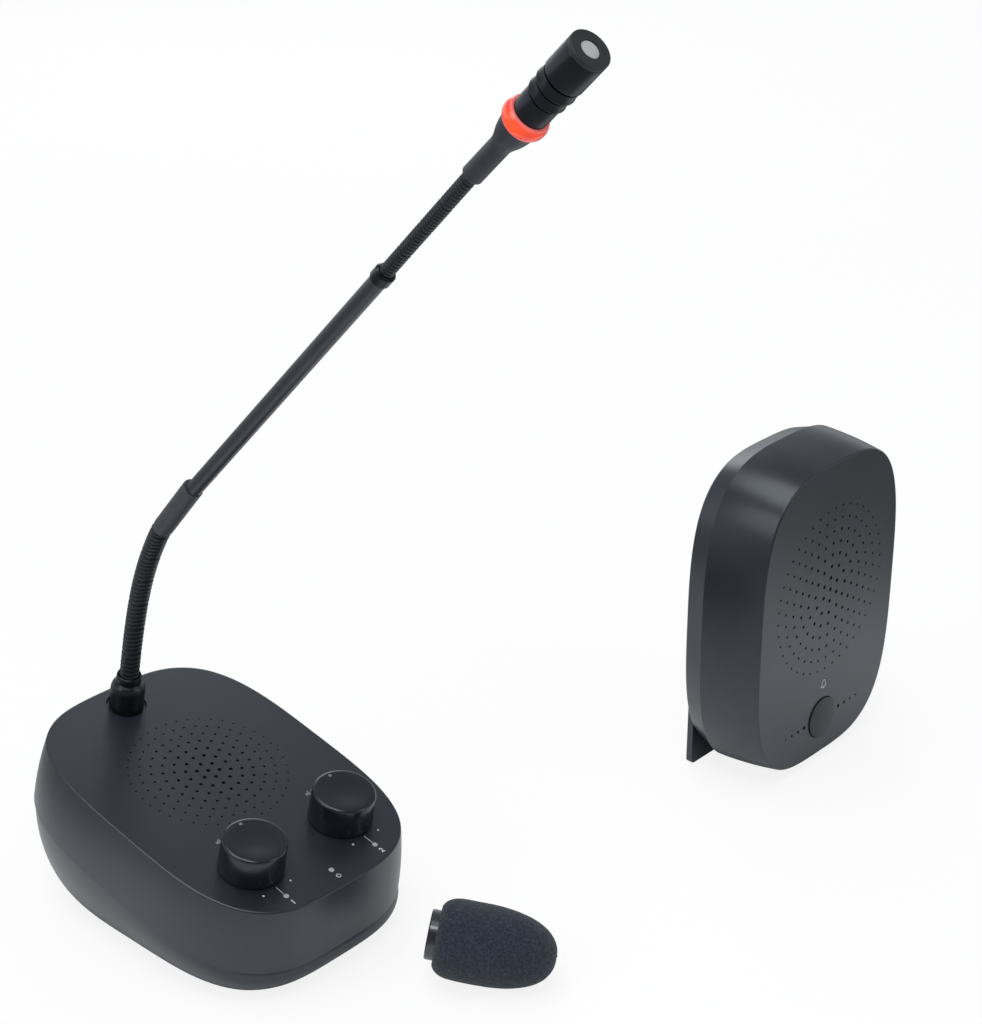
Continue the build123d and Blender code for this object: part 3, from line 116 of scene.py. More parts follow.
# Printed marks, in millimetres on the stations' faces
PRINT_LIFT = 0.03
KNOB_ROW = -46.0
LED_ROW = -67.2
RANGE_MARK_ROW = -61.65
RANGE_MARK_OFFSET = 7.4
RANGE_MARK_RADIUS = 0.5
LEAD_LINE_START = -60.9
LEAD_LINE_WIDTH = 0.32
LENS_MARGIN = 1.5
LABEL_ROW = -71.4
LABEL_SIZE = 3.5
ICON_RISE = 18.9  # behind the knob's axis
ICON_SIZE = 2.5
ICON_STROKE = 0.36
POWER_SIGN_RADIUS = 0.95
POINTER_OFFSET = Vector((1.6, 10.5))
POINTER_RADIUS = 0.75
BELL_ROW = 18.3  # above the call button's middle
BELL_SIZE = 2.3
BELL_STROKE = 0.42

# Volume knobs, in millimetres
KNOB_WALL = 2.2
KNOB_TOP_TAPER = 0.35
KNOB_EDGE = 1.5
KNOB_DISH = 0.55
KNOB_ROOF = 4.6
KNOB_FOOT_ROUND = 0.35
KNOB_INNER_ROUND = 0.3
KNOB_DISH_STEPS = 12

# Gooseneck hoses, in millimetres
# lead and tail: from the first knee to the start, and from the last knee to the end
LOWER_HOSE = {
    "radius": 4.3, "pitch": 2.15, "groove": 0.55, "lead": -0.3, "tail": 2.0, "knee_gap": 0.7
}
UPPER_HOSE = {
    "radius": 2.9, "pitch": 1.6, "groove": 0.42, "lead": 0.3, "tail": 1.5, "knee_gap": 0.55
}
BEND_STEPS = 24
RIB_STEPS = 6
BALL_STEPS = 16
HOSE_SEGMENTS = 44

# Boot of the gooseneck, in millimetres above its foot
BOOT_RADIUS = 7.6
BOOT_SHOULDER = [(7.6, 9.4), (7.5, 11.0), (7.2, 12.3), (6.7, 13.3), (6.0, 14.05), (5.5, 14.35)]
BOOT_COLLAR = [(5.4, 14.5), (5.5, 14.75), (5.45, 17.5), (5.25, 18.05), (5.0, 18.2)]
BOOT_MOUTH = [(4.75, 18.05), (4.6, 17.6)]
BOOT_MOUTH_DEPTH = 1.6

# Microphone head, in millimetres
STEP_STARTS = (8.6, 13.5, 18.6)
STEP_WIDEN = 0.34
STEP_NOTCH = 0.9
STEP_NOTCH_LENGTH = 1.0
STEP_LIP = 0.3
STEP_ROUND = 0.15
LIP_ROUND = 0.18
LIP_LENGTH = 0.5
LIP_SLOPE_END = 1.1  # where the lip has run out into the barrel's side
BARREL_ROUND = 0.25
END_RING_GAP = 0.03
END_RING_ROUND = 0.5
END_RING_EDGE = 0.2
WINDOW_FLOOR = 0.6  # above the barrel's end
WINDOW_RADIUS = 3.6
CAPSULE_SUNK = 0.25
CAPSULE_GAP = 0.04
CAPSULE_ROUND = 0.35

# Foam windscreen, in millimetres from its collar end
FOAM_END_RADIUS = 12.5
FOAM_WIDEST = 17.0
FOAM_RADIUS = 16.9
FOAM_SHOULDER_REACH = 18.2
FOAM_SHOULDER_POWER = 4.5
FOAM_NOSE_POWER = 2.4
FOAM_STEP = 0.6
FOAM_SHOULDER_POINTS = 60
FOAM_NOSE_POINTS = 100
FOAM_SHOULDER_EASE = 1.6  # draws the shoulder's points together at the collar
FOAM_BORE_BACK = [(0, 29.0), (7.6, 29.0), (7.6, 8.1), (10.5, 8.1)]
FOAM_SEAT_RADIUS = 10.5
FOAM_CELL = 1.3
FOAM_PORE_DEPTH = 0.4
FOAM_PORE_SIZE = 0.45  # share of a cell
FOAM_PORE_POWER = 0.7
FOAM_SWELL_CELL = 7
FOAM_SWELL_DEPTH = 0.2
FOAM_BORE_SHARE = 0.65  # of its length, over which the bore's wall stays smooth

# Screw recesses, sockets and the power switch's signs, in millimetres
RECESS_ARM = 1.75
RECESS_WIDTH = 0.42
RECESS_DEPTH = 1.2
RECESS_TAPER = ((0.4, 1.15), (0.0, 1.0), (-RECESS_DEPTH, 0.55))  # height and width share
HEAD_ROUND = 0.75
FERRULE_OUTER = 3.1
FERRULE_PROUD = 0.12
FERRULE_DEPTH = 2.0
LINK_BORE = 1.8
POWER_PIN = 1.02  # just over the solid pin below it
POWER_PIN_LENGTH = 9.03
POWER_PIN_DEPTH = 10.4
ROCKER_BAR = 1.1
ROCKER_BAR_WIDTH = 0.45
ROCKER_RING = 1.0
ROCKER_RING_WIDTH = 0.4


# ---------------------------------------------------------------- places
def place(origin, across, normal):
    """Matrix of a frame whose local X runs across and local Z along the normal."""
    z = normal.normalized()
    x = (across - across.dot(z) * z).normalized()
    y = z.cross(x)
    turn = Matrix((x, y, z)).transposed().to_4x4()
    return Matrix.Translation(origin) @ turn


def middle(*names):
    """Mean vertex place of some CAD nodes."""
    total = Vector()
    count = 0
    for name in names:
        for vertex in nodes[name].data.vertices:
            total += vertex.co
            count += 1
    return total / count


def reach(name, origin, direction):
    """A CAD node's lowest and highest place along a direction from an origin, and its radius."""
    low, high, radius = 1e9, -1e9, 0.0
    for vertex in nodes[name].data.vertices:
        offset = vertex.co - origin
        along = offset.dot(direction)
        low = min(low, along)
        high = max(high, along)
        radius = max(radius, (offset - along * direction).length)
    return low, high, radius


def cast(target, origin, direction):
    """Where a ray first meets an object's mesh, and the surface's normal there."""
    mesh = target.data
    tree = BVHTree.FromPolygons(
        [vertex.co for vertex in mesh.vertices], [face.vertices for face in mesh.polygons]
    )
    spot, normal, index, distance = tree.ray_cast(origin, direction)
    return spot, normal


left_knob = Vector(joints["left_volume_turn"]["pos_m"])
right_knob = Vector(joints["right_volume_turn"]["pos_m"])
desk_normal = Vector(joints["left_volume_turn"]["axis"]).normalized()
desk_along = desk_normal.cross(ACROSS)
desk_face = place((left_knob + right_knob) / 2 - KNOB_ROW * MM * desk_along, ACROSS, desk_normal)
knob_half = (right_knob - left_knob).length / 2 / MM

outer_normal = -Vector(joints["call_button_press"]["axis"])
outer_low, outer_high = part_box("outer_front_shell")
button_low, button_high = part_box("call_button")
button_middle = (button_low + button_high) / 2
outer_face = place(Vector((button_middle.x, outer_low.y, button_middle.z)), ACROSS, outer_normal)

ring_middle = middle("light_ring")
head_axis = (middle("mic_end_ring") - ring_middle).normalized()
foam_middle = middle("windscreen_foam")
foam_axis = (foam_middle - middle("windscreen_collar")).normalized()
foam_reach = reach("windscreen_foam", foam_middle, foam_axis)
foam_foot = foam_middle + foam_axis * foam_reach[0]
foam_length = (foam_reach[1] - foam_reach[0]) / MM


# ---------------------------------------------------------------- materials
def new_material(name, roughness=0.5, metallic=0.0):
    """A material, its node tree and its main shader."""
    material = bpy.data.materials.new(name)
    material.use_nodes = True
    tree = material.node_tree
    body = tree.nodes["Principled BSDF"]
    body.inputs["Roughness"].default_value = roughness
    body.inputs["Metallic"].default_value = metallic
    return material, tree, body


def grain(tree, scale, detail=2.0):
    """Noise fixed to the object, with its scale per metre."""
    coordinates = tree.nodes.new("ShaderNodeTexCoord")
    texture = tree.nodes.new("ShaderNodeTexNoise")
    texture.inputs["Scale"].default_value = scale
    texture.inputs["Detail"].default_value = detail
    tree.links.new(coordinates.outputs["Object"], texture.inputs["Vector"])
    return texture.outputs["Fac"]


def ramp(tree, fac, colours, places):
    """Colour ramp over some places."""
    node = tree.nodes.new("ShaderNodeValToRGB")
    stops = node.color_ramp.elements
    while len(stops) < len(colours):
        stops.new(0.5)
    for stop, colour, at in zip(stops, colours, places):
        stop.position = at
        stop.color = (*colour, 1)
    tree.links.new(fac, node.inputs["Fac"])
    return node.outputs["Color"]


def tint(tree, body, fac, dark, light, low=0.35, high=0.65):
    """Base colour that wanders between two close tones."""
    tree.links.new(ramp(tree, fac, (dark, light), (low, high)), body.inputs["Base Color"])


def wear(tree, body, fac, low, high):
    """Roughness that wanders between two values."""
    span = tree.nodes.new("ShaderNodeMapRange")
    span.inputs["To Min"].default_value = low
    span.inputs["To Max"].default_value = high
    tree.links.new(fac, span.inputs["Value"])
    tree.links.new(span.outputs["Result"], body.inputs["Roughness"])


def relief(tree, body, fac, strength, depth):
    """Fine relief from a noise, its depth in metres."""
    bump = tree.nodes.new("ShaderNodeBump")
    bump.inputs["Strength"].default_value = strength
    bump.inputs["Distance"].default_value = depth
    tree.links.new(fac, bump.inputs["Height"])
    tree.links.new(bump.outputs["Normal"], body.inputs["Normal"])


def dot_with(tree, vector, direction):
    """Dot product of a vector with a fixed direction."""
    node = tree.nodes.new("ShaderNodeVectorMath")
    node.operation = "DOT_PRODUCT"
    node.inputs[1].default_value = direction
    tree.links.new(vector, node.inputs[0])
    return node.outputs["Value"]


def smooth_range(tree, value, span, low, high):
    """A value that eases from low to high over a span."""
    node = tree.nodes.new("ShaderNodeMapRange")
    node.interpolation_type = "SMOOTHSTEP"
    node.inputs["From Min"].default_value = span[0]
    node.inputs["From Max"].default_value = span[1]
    node.inputs["To Min"].default_value = low
    node.inputs["To Max"].default_value = high
    tree.links.new(value, node.inputs["Value"])
    return node.outputs["Result"]


def scaled(tree, value, factor):
    """A value times a number or another value."""
    node = tree.nodes.new("ShaderNodeMath")
    node.operation = "MULTIPLY"
    tree.links.new(value, node.inputs[0])
    if isinstance(factor, float):
        node.inputs[1].default_value = factor
    else:
        tree.links.new(factor, node.inputs[1])
    return node.outputs["Value"]


def mixed(tree, fac, first, second):
    """Two shaders mixed by a value."""
    node = tree.nodes.new("ShaderNodeMixShader")
    tree.links.new(fac, node.inputs["Fac"])
    tree.links.new(first, node.inputs[1])
    tree.links.new(second, node.inputs[2])
    return node.outputs["Shader"]


def surface(name, tone, rough, grain_scale, depth, spread=0.12, metallic=0.0, level=0.5):
    """A painted, moulded or metal surface: slow tone changes and a fine grain.

    rough is the span of its roughness, grain_scale is per metre and depth in metres.
    """
    material, tree, body = new_material(name, metallic=metallic)
    body.inputs["Specular IOR Level"].default_value = level
    body.inputs["Specular Tint"].default_value = COOL
    slow = grain(tree, TONE_SCALE, 3)
    fine = grain(tree, grain_scale)
    dark = [part * (1 - spread) for part in tone]
    light = [part * (1 + spread) for part in tone]
    tint(tree, body, slow, dark, light)
    wear(tree, body, fine, rough[0], rough[1])
    relief(tree, body, fine, 0.35, depth)
    return material


def make_barrel():
    """Black anodised metal, turned on a lathe: fine rings across its axis."""
    material, tree, body = new_material("anodised_black")
    body.inputs["Specular Tint"].default_value = COOL
    body.inputs["Specular IOR Level"].default_value = 0.38
    coordinates = tree.nodes.new("ShaderNodeTexCoord")
    along = dot_with(tree, coordinates.outputs["Object"], head_axis)
    turned = tree.nodes.new("ShaderNodeTexNoise")
    turned.noise_dimensions = "1D"
    turned.inputs["Scale"].default_value = LATHE_RINGS
    tree.links.new(along, turned.inputs["W"])
    tint(tree, body, grain(tree, 60, 2), (0.0045, 0.005, 0.008), (0.0065, 0.007, 0.011))
    wear(tree, body, turned.outputs["Fac"], 0.18, 0.27)
    relief(tree, body, turned.outputs["Fac"], 0.15, 1e-6)
    return material


def make_lens():
    """Clear indicator lens over a pale, unlit diode."""
    material, tree, body = new_material("lens_clear", 0.16)
    tint(tree, body, grain(tree, 900, 2), (0.34, 0.35, 0.38), (0.5, 0.52, 0.56))
    body.inputs["Transmission Weight"].default_value = 0.2
    return material


def make_ring():
    """Translucent red ring lit from inside, with a painted pale highlight along its two edges."""
    material, tree, body = new_material("lit_ring", 0.14)
    coordinates = tree.nodes.new("ShaderNodeTexCoord")
    offset = tree.nodes.new("ShaderNodeVectorMath")
    offset.operation = "SUBTRACT"
    offset.inputs[1].default_value = ring_middle
    size = tree.nodes.new("ShaderNodeMath")
    size.operation = "ABSOLUTE"
    share = tree.nodes.new("ShaderNodeMapRange")
    share.inputs["From Max"].default_value = ring_half
    tree.links.new(coordinates.outputs["Object"], offset.inputs[0])
    tree.links.new(dot_with(tree, offset.outputs["Vector"], head_axis), size.inputs[0])
    tree.links.new(size.outputs["Value"], share.inputs["Value"])
    core = ramp(tree, grain(tree, RING_LAMPS, 1), RING_CORE, (0.38, 0.6))
    # painted highlight: the ring's colour and glow turn pale near its two edges
    edge = ramp(tree, share.outputs["Result"], (BLACK, BLACK, WHITE), RING_SHEEN_FADE)
    colour = tree.nodes.new("ShaderNodeMix")
    colour.data_type = "RGBA"
    colour.inputs[7].default_value = RING_PAINTED_SHEEN
    tree.links.new(edge, colour.inputs[0])
    tree.links.new(core, colour.inputs[6])
    tree.links.new(colour.outputs[2], body.inputs["Base Color"])
    tree.links.new(colour.outputs[2], body.inputs["Emission Color"])
    body.inputs["Emission Strength"].default_value = RING_GLOW
    body.inputs["Subsurface Weight"].default_value = 0.25
    body.inputs["Subsurface Radius"].default_value = (0.004, 0.001, 0.0006)
    body.inputs["Subsurface Scale"].default_value = 0.6
    body.inputs["Coat Weight"].default_value = 0.5
    body.inputs["Coat Roughness"].default_value = 0.08
    return material


def make_foam():
    """Open-cell foam: cells painted darker as shade in their pores, over a blue-black ground."""
    material, tree, body = new_material("foam_cells", 0.95)
    coordinates = tree.nodes.new("ShaderNodeTexCoord")
    cells = tree.nodes.new("ShaderNodeTexVoronoi")
    cells.inputs["Scale"].default_value = FOAM_CELLS
    tree.links.new(coordinates.outputs["Object"], cells.inputs["Vector"])
    distance = cells.outputs["Distance"]
    # painted shade: each cell's middle, where a pore sinks, is darker
    tint(tree, body, distance, (0.006, 0.008, 0.013), (0.028, 0.036, 0.055), 0.05, 0.75)
    relief(tree, body, distance, 0.6, 2e-4)
    body.inputs["Specular IOR Level"].default_value = 0.2
    body.inputs["Sheen Weight"].default_value = 0.12
    body.inputs["Sheen Roughness"].default_value = 0.6
    return material


ring_half = reach("light_ring", ring_middle, head_axis)[1]
housing_tone = (0.0115, 0.0135, 0.0205)
housing = surface("housing_plastic", housing_tone, (0.27, 0.36), 2600, 8e-6, level=0.75)
painted = surface("painted_black", (0.021, 0.023, 0.032), (0.3, 0.38), 3000, 5e-6, level=0.7)
gloss = surface("gloss_black", (0.011, 0.011, 0.013), (0.1, 0.18), 800, 2e-6)
print_ink = surface("print_ink", (0.5, 0.51, 0.53), (0.5, 0.6), 3000, 5e-6, 0.08)
faded_ink = surface("faded_ink", (0.16, 0.165, 0.175), (0.5, 0.6), 3000, 5e-6, 0.08)
plated = surface("plating", (0.62, 0.61, 0.58), (0.22, 0.32), 1500, 3e-6, 0.06, 1.0)
slot_materials = {
    "housing": housing,
    "pad": surface("pad_rubber", (0.019, 0.019, 0.019), (0.75, 0.9), 1500, 5e-5),
    "screw": surface("screw_steel", (0.16, 0.16, 0.17), (0.28, 0.4), 1500, 4e-6, 0.15, 1.0),
    "basket": painted,
    "cone": surface("cone_paper", (0.014, 0.014, 0.014), (0.8, 0.95), 1200, 5e-5, 0.4),
    "magnet": surface("magnet_zinc", (0.4, 0.41, 0.43), (0.35, 0.5), 1500, 4e-6, 0.1, 1.0),
    "board": surface("solder_mask", (0.028, 0.125, 0.05), (0.3, 0.4), 900, 5e-6, 0.2),
    "pot": plated,
    "shaft": surface("shaft_aluminium", (0.75, 0.75, 0.75), (0.25, 0.35), 1500, 4e-6, 0.05, 1.0),
    "knob": surface("knob_plastic", (0.008, 0.009, 0.014), (0.2, 0.26), 1600, 1e-6, level=0.65),
    "lens": make_lens(),
    "socket": surface("socket_plastic", (0.013, 0.013, 0.014), (0.4, 0.5), 2000, 1e-5),
    "rocker": gloss,
    "stud": surface("stud_steel", (0.13, 0.13, 0.13), (0.3, 0.4), 1500, 4e-6, 0.15, 1.0),
    "boot": surface("boot_plastic", (0.005, 0.006, 0.009), (0.26, 0.34), 2600, 3e-6),
    "flex": surface("hose_black", (0.015, 0.016, 0.020), (0.24, 0.36), 2400, 4e-6, 0.2, 0.15),
    "sleeve": surface("sleeve_rubber", (0.046, 0.05, 0.06), (0.42, 0.55), 1800, 1.5e-5),
    "stem": painted,
    "ring": make_ring(),
    "barrel": make_barrel(),
    "capsule": surface("capsule_felt", (0.4, 0.4, 0.405), (0.6, 0.7), 3600, 4e-5, 0.2),
    "button": surface("button_plastic", (0.015, 0.0145, 0.0135), (0.42, 0.5), 2600, 1.5e-5),
    "bracket": painted,
    "foam": make_foam(),
    "collar": surface("collar_satin", (0.02, 0.02, 0.023), (0.2, 0.28), 1600, 2e-6, level=0.9),
}
node_materials = {
    "mic_neck": surface("neck_rubber", (0.028, 0.029, 0.038), (0.38, 0.48), 1800, 1e-5),
    "mic_end_ring": surface("end_ring", (0.017, 0.019, 0.017), (0.42, 0.55), 3200, 1e-5, 0.2),
}
node_slots = {part["node"]: part["material_slot"] for part in frame["record"]["subparts"]}


def finish_of(node):
    """The material that shows on a CAD node."""
    return node_materials.get(node, slot_materials[node_slots[node]])


def dress_nodes():
    """Give every CAD node its material and smooth shading with sharp edges kept."""
    for node in node_slots:
        mesh = nodes[node].data
        mesh.materials.clear()
        mesh.materials.append(finish_of(node))
        mesh.shade_smooth()
        mesh.set_sharp_from_angle(angle=SMOOTH_ANGLE)


# ---------------------------------------------------------------- mesh helpers
def final_mesh(piece):
    """A new mesh with an object's modifiers applied, or a text's outlines filled."""
    bpy.context.view_layer.update()
    depsgraph = bpy.context.evaluated_depsgraph_get()
    return bpy.data.meshes.new_from_object(piece.evaluated_get(depsgraph))


def add_piece(name, mesh, material, smooth=True):
    """An object for a mesh in the row frame."""
    mesh.materials.clear()
    mesh.materials.append(material)
    if smooth:
        mesh.shade_smooth()
        mesh.set_sharp_from_angle(angle=SMOOTH_ANGLE)
    piece = bpy.data.objects.new(name, mesh)
    bpy.context.scene.collection.objects.link(piece)
    return piece


def mesh_of(name, points, faces, weld=0.0):
    """A mesh from points and faces, with near points joined and its faces turned outwards."""
    mesh = bpy.data.meshes.new(name)
    mesh.from_pydata([tuple(point) for point in points], [], faces)
    if weld:
        work = bmesh.new()
        work.from_mesh(mesh)
        bmesh.ops.remove_doubles(work, verts=work.verts, dist=weld)
        bmesh.ops.recalc_face_normals(work, faces=work.faces)
        work.to_mesh(mesh)
        work.free()
    mesh.update()
    return mesh


def lathe(name, at, outline, material, segments=72):
    """Solid of revolution about a frame's normal, from a closed (radius, height) outline in mm."""
    points = []
    faces = []
    for radius, height in outline:
        for k in range(segments):
            turn = 2 * pi * k / segments
            points.append(at @ (Vector((radius * cos(turn), radius * sin(turn), height)) * MM))
    rows = len(outline)
    for row in range(rows):
        low = row * segments
        high = (row + 1) % rows * segments
        for k in range(segments):
            beside = (k + 1) % segments
            faces.append((low + k, low + beside, high + beside, high + k))
    return add_piece(name, mesh_of(name, points, faces, weld=1e-7), material)


def eased(corner, before, after, size, steps=6):
    """Points that round a corner of an outline."""
    corner, before, after = Vector(corner), Vector(before), Vector(after)
    start = corner + (before - corner).normalized() * size
    end = corner + (after - corner).normalized() * size
    points = []
    for step in range(steps + 1):
        t = step / steps
        point = start * (1 - t) ** 2 + corner * 2 * t * (1 - t) + end * t**2
        points.append(tuple(point))
    return points


def flat_patch(name, matrix, outlines, body, ink=None):
    """Thin printed shapes on a face: each outline is a list of (x, y) in millimetres."""
    points = []
    faces = []
    for outline in outlines:
        start = len(points)
        for x, y in outline:
            points.append(matrix @ Vector((x * MM, y * MM, PRINT_LIFT * MM)))
        faces.append(list(range(start, len(points))))
    piece = add_piece(name, mesh_of(name, points, faces), ink or print_ink, smooth=False)
    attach(piece, body)
    return piece


def disc(x, y, radius, sides=20):
    """Corners of a round dot."""
    turns = [2 * pi * k / sides for k in range(sides)]
    return [(x + radius * cos(turn), y + radius * sin(turn)) for turn in turns]


def bar(start, end, width):
    """Thin rectangle between two points."""
    a, b = Vector(start), Vector(end)
    side = (b - a).normalized().orthogonal() * width / 2
    return [tuple(a - side), tuple(b - side), tuple(b + side), tuple(a + side)][::-1]


def stroke(path, width, closed=False):
    """Bars along a path."""
    ends = list(zip(path, path[1:])) + ([(path[-1], path[0])] if closed else [])
    return [bar(start, end, width) for start, end in ends]


def arc(x, y, radius, start, end, steps=10):
    """Points of an arc, its angles in degrees."""
    points = []
    for step in range(steps + 1):
        turn = radians(start + (end - start) * step / steps)
        points.append((x + radius * cos(turn), y + radius * sin(turn)))
    return points


def speaker_sign(x, y, size, width):
    """A small loudspeaker sign: body, horn and two sound arcs."""
    horn = [(-0.9, -0.3), (-0.4, -0.3), (0.1, -0.8), (0.1, 0.8), (-0.4, 0.3), (-0.9, 0.3)]
    shapes = [[(x + size * u, y + size * v) for u, v in horn]]
    for radius in (0.45, 0.85):
        shapes += stroke(arc(x + size * 0.1, y, size * radius, -45, 45, 6), width)
    return shapes


def bell_sign(x, y, size, width):
    """A bell sign: dome, flared rim and clapper."""
    dome = arc(0, 0.35, 0.55, 180, 0, 8)
    path = [(-0.95, -0.65), (-0.6, -0.2)] + dome + [(0.6, -0.2), (0.95, -0.65)]
    shapes = stroke([(x + size * u, y + size * v) for u, v in path], width, closed=True)
    shapes += stroke(arc(x, y - size * 0.72, size * 0.28, 190, 350, 6), width)
    return shapes


def power_sign(x, y, radius, width):
    """A broken ring with a bar through its gap."""
    shapes = stroke(arc(x, y, radius, 125, 415, 14), width)
    shapes.append(bar((x, y + radius * 0.15), (x, y + radius * 1.35), width))
    return shapes


# ---------------------------------------------------------------- printed marks
def label(name, text, matrix, x, y, size, body):
    """A plain number printed on a face."""
    curve = bpy.data.curves.new(name, "FONT")
    curve.body = text
    curve.size = size * MM
    curve.align_x = "CENTER"
    curve.align_y = "CENTER"
    curve.offset = size * MM * 0.03
    writer = bpy.data.objects.new(name + "_text", curve)
    bpy.context.scene.collection.objects.link(writer)
    mesh = final_mesh(writer)
    bpy.data.objects.remove(writer)
    mesh.transform(matrix @ Matrix.Translation((x * MM, y * MM, PRINT_LIFT * MM)))
    piece = add_piece(name, mesh, print_ink, smooth=False)
    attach(piece, body)


def print_desk_marks():
    """Range dots, lead lines, numbers and signs round the volume knobs and the power lamp."""
    for side, number in ((-1, "1"), (1, "2")):
        x = side * knob_half
        shapes = [
            disc(x - RANGE_MARK_OFFSET, RANGE_MARK_ROW, RANGE_MARK_RADIUS),
            disc(x + RANGE_MARK_OFFSET, RANGE_MARK_ROW, RANGE_MARK_RADIUS),
            bar((x, LEAD_LINE_START), (x, LED_ROW + LENS_MARGIN), LEAD_LINE_WIDTH),
        ]
        flat_patch(f"marks_{number}", desk_face, shapes, "desk")
        sign = speaker_sign(x, KNOB_ROW + ICON_RISE, ICON_SIZE, ICON_STROKE)
        flat_patch(f"speaker_{number}", desk_face, sign, "desk", faded_ink)
        label(f"number_{number}", number, desk_face, x, LABEL_ROW, LABEL_SIZE, "desk")
    sign = power_sign(0, LABEL_ROW, POWER_SIGN_RADIUS, ICON_STROKE)
    flat_patch("marks_power", desk_face, sign, "desk")


def print_rocker():
    """Bar and ring on the two halves of the power switch."""
    pivot = Vector(joints["power_switch_rock"]["pos_m"])
    low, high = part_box("power_rocker")
    out = (Vector((0, high.y, (low.z + high.z) / 2)) - pivot).normalized()
    rise = Vector((-1, 0, 0)).cross(out) * -1
    half = (high.z - low.z) / 4
    signs = {
        "rocker_bar": (half, [bar((0, -ROCKER_BAR), (0, ROCKER_BAR), ROCKER_BAR_WIDTH)]),
        "rocker_ring": (-half, stroke(arc(0, 0, ROCKER_RING, 0, 360, 20), ROCKER_RING_WIDTH)),
    }
    for name, (height, shapes) in signs.items():
        spot, normal = cast(nodes["power_rocker"], pivot + rise * height + out * 20 * MM, -out)
        flat_patch(name, place(spot, Vector((-1, 0, 0)), normal), shapes, "power_rocker")


# ---------------------------------------------------------------- volume knobs
def make_knob(side):
    """A knob with a tapered side, a rounded bright edge and a shallow dished top."""
    node = f"volume_knob_{side}"
    centre = Vector(joints[f"{side}_volume_turn"]["pos_m"])
    low, high, radius = (size / MM for size in reach(node, centre, desk_normal))
    top_radius = radius - KNOB_TOP_TAPER
    inner = radius - KNOB_WALL
    roof = high - KNOB_ROOF
    rim = eased((top_radius, high), (radius, low), (0, high), KNOB_EDGE)
    dish_start = rim[-1][0]
    outline = [(0, roof), (inner, roof), (inner, low + KNOB_INNER_ROUND)]
    outline += eased((inner, low), (inner, roof), (radius, low), KNOB_INNER_ROUND, 3)
    outline += eased((radius, low), (inner, low), (top_radius, high), KNOB_FOOT_ROUND, 3)
    outline += rim
    for step in range(1, KNOB_DISH_STEPS + 1):
        share = 1 - step / KNOB_DISH_STEPS
        sink = KNOB_DISH * (1 - share**2) ** 2
        outline.append((dish_start * share, high - sink))
    at = place(centre, ACROSS, desk_normal)
    knob = lathe(node + "_skin", at, outline, slot_materials["knob"], 96)
    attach(knob, f"knob_{side}")
    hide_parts(node)
    spot = at @ Vector((POINTER_OFFSET.x * MM, POINTER_OFFSET.y * MM, (high + 5) * MM))
    hit, normal = cast(knob, spot, -desk_normal)
    dot = [disc(0, 0, POINTER_RADIUS)]
    top = place(hit, ACROSS, normal)
    flat_patch(f"pointer_{side}", top, dot, f"knob_{side}", faded_ink)


# ---------------------------------------------------------------- boot and microphone head
def make_boot():
    """A straight boot with a rounded shoulder and a collar round the hose."""
    knee = Vector(bends[("desk", "lower_link_1")]["pos_m"])
    low = reach("gooseneck_boot", knee, desk_normal)[0]
    outline = [(0, 0), *eased((BOOT_RADIUS, 0), (0, 0), (BOOT_RADIUS, 5), 0.3, 3)]
    outline += BOOT_SHOULDER + BOOT_COLLAR + BOOT_MOUTH
    mouth_radius, mouth_height = BOOT_MOUTH[-1]
    floor = mouth_height - BOOT_MOUTH_DEPTH
    outline += [(mouth_radius, floor), (0, floor)]
    at = place(knee + desk_normal * low, ACROSS, desk_normal)
    boot = lathe("gooseneck_boot_skin", at, outline, slot_materials["boot"])
    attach(boot, "desk")
    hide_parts("gooseneck_boot")


def make_head():
    """The microphone's stepped barrel, its end ring and the capsule behind the ring's window."""
    foot = ring_middle + head_axis * ring_half
    at = place(foot, ACROSS, head_axis)
    length, radius = (size / MM for size in reach("mic_barrel", foot, head_axis)[1:])
    end = reach("mic_end_ring", foot, head_axis)[1] / MM
    wall = radius - len(STEP_STARTS) * STEP_WIDEN
    outline = [(0, 0.02), (wall, 0.02)]
    for start in STEP_STARTS:
        notch = wall - STEP_NOTCH
        outline += eased((wall, start), (wall, 0), (notch, start), STEP_ROUND, 3)
        outline += [(notch, start + 0.1), (notch, start + STEP_NOTCH_LENGTH)]
        wall += STEP_WIDEN
        lip = min(wall + STEP_LIP, radius)
        edge = start + STEP_NOTCH_LENGTH
        outline += eased((lip, edge), (notch, edge), (lip, edge + 2), LIP_ROUND, 3)
        outline += [(lip, edge + LIP_LENGTH), (wall, edge + LIP_SLOPE_END)]
    outline += [*eased((radius, length), (radius, 0), (0, length), BARREL_ROUND, 3), (0, length)]
    barrel = lathe("mic_barrel_skin", at, outline, slot_materials["barrel"], 96)
    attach(barrel, "microphone")
    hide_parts("mic_barrel")
    seat = length + END_RING_GAP
    floor = length + WINDOW_FLOOR
    outline = [(0, seat), *eased((radius, seat), (0, length), (radius, end), END_RING_EDGE, 3)]
    outline += eased((radius, end), (radius, length), (0, end), END_RING_ROUND, 5)
    window = ((WINDOW_RADIUS, end), (radius, end), (WINDOW_RADIUS, length))
    outline += eased(*window, END_RING_EDGE, 3)
    outline += [(WINDOW_RADIUS, floor), (0, floor)]
    ring = lathe("mic_end_ring_skin", at, outline, finish_of("mic_end_ring"), 96)
    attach(ring, "microphone")
    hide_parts("mic_end_ring")
    rim, top = WINDOW_RADIUS - CAPSULE_GAP, end - CAPSULE_SUNK
    outline = [(0, floor + 0.02), (rim, floor + 0.02)]
    outline += eased((rim, top - 0.2), (rim, length), (0, top), CAPSULE_ROUND, 5)
    outline += [(rim / 2, top - 0.04), (0, top)]
    capsule = lathe("mic_capsule_felt", at, outline, slot_materials["capsule"], 64)
    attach(capsule, "microphone")
    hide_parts("mic_capsule")


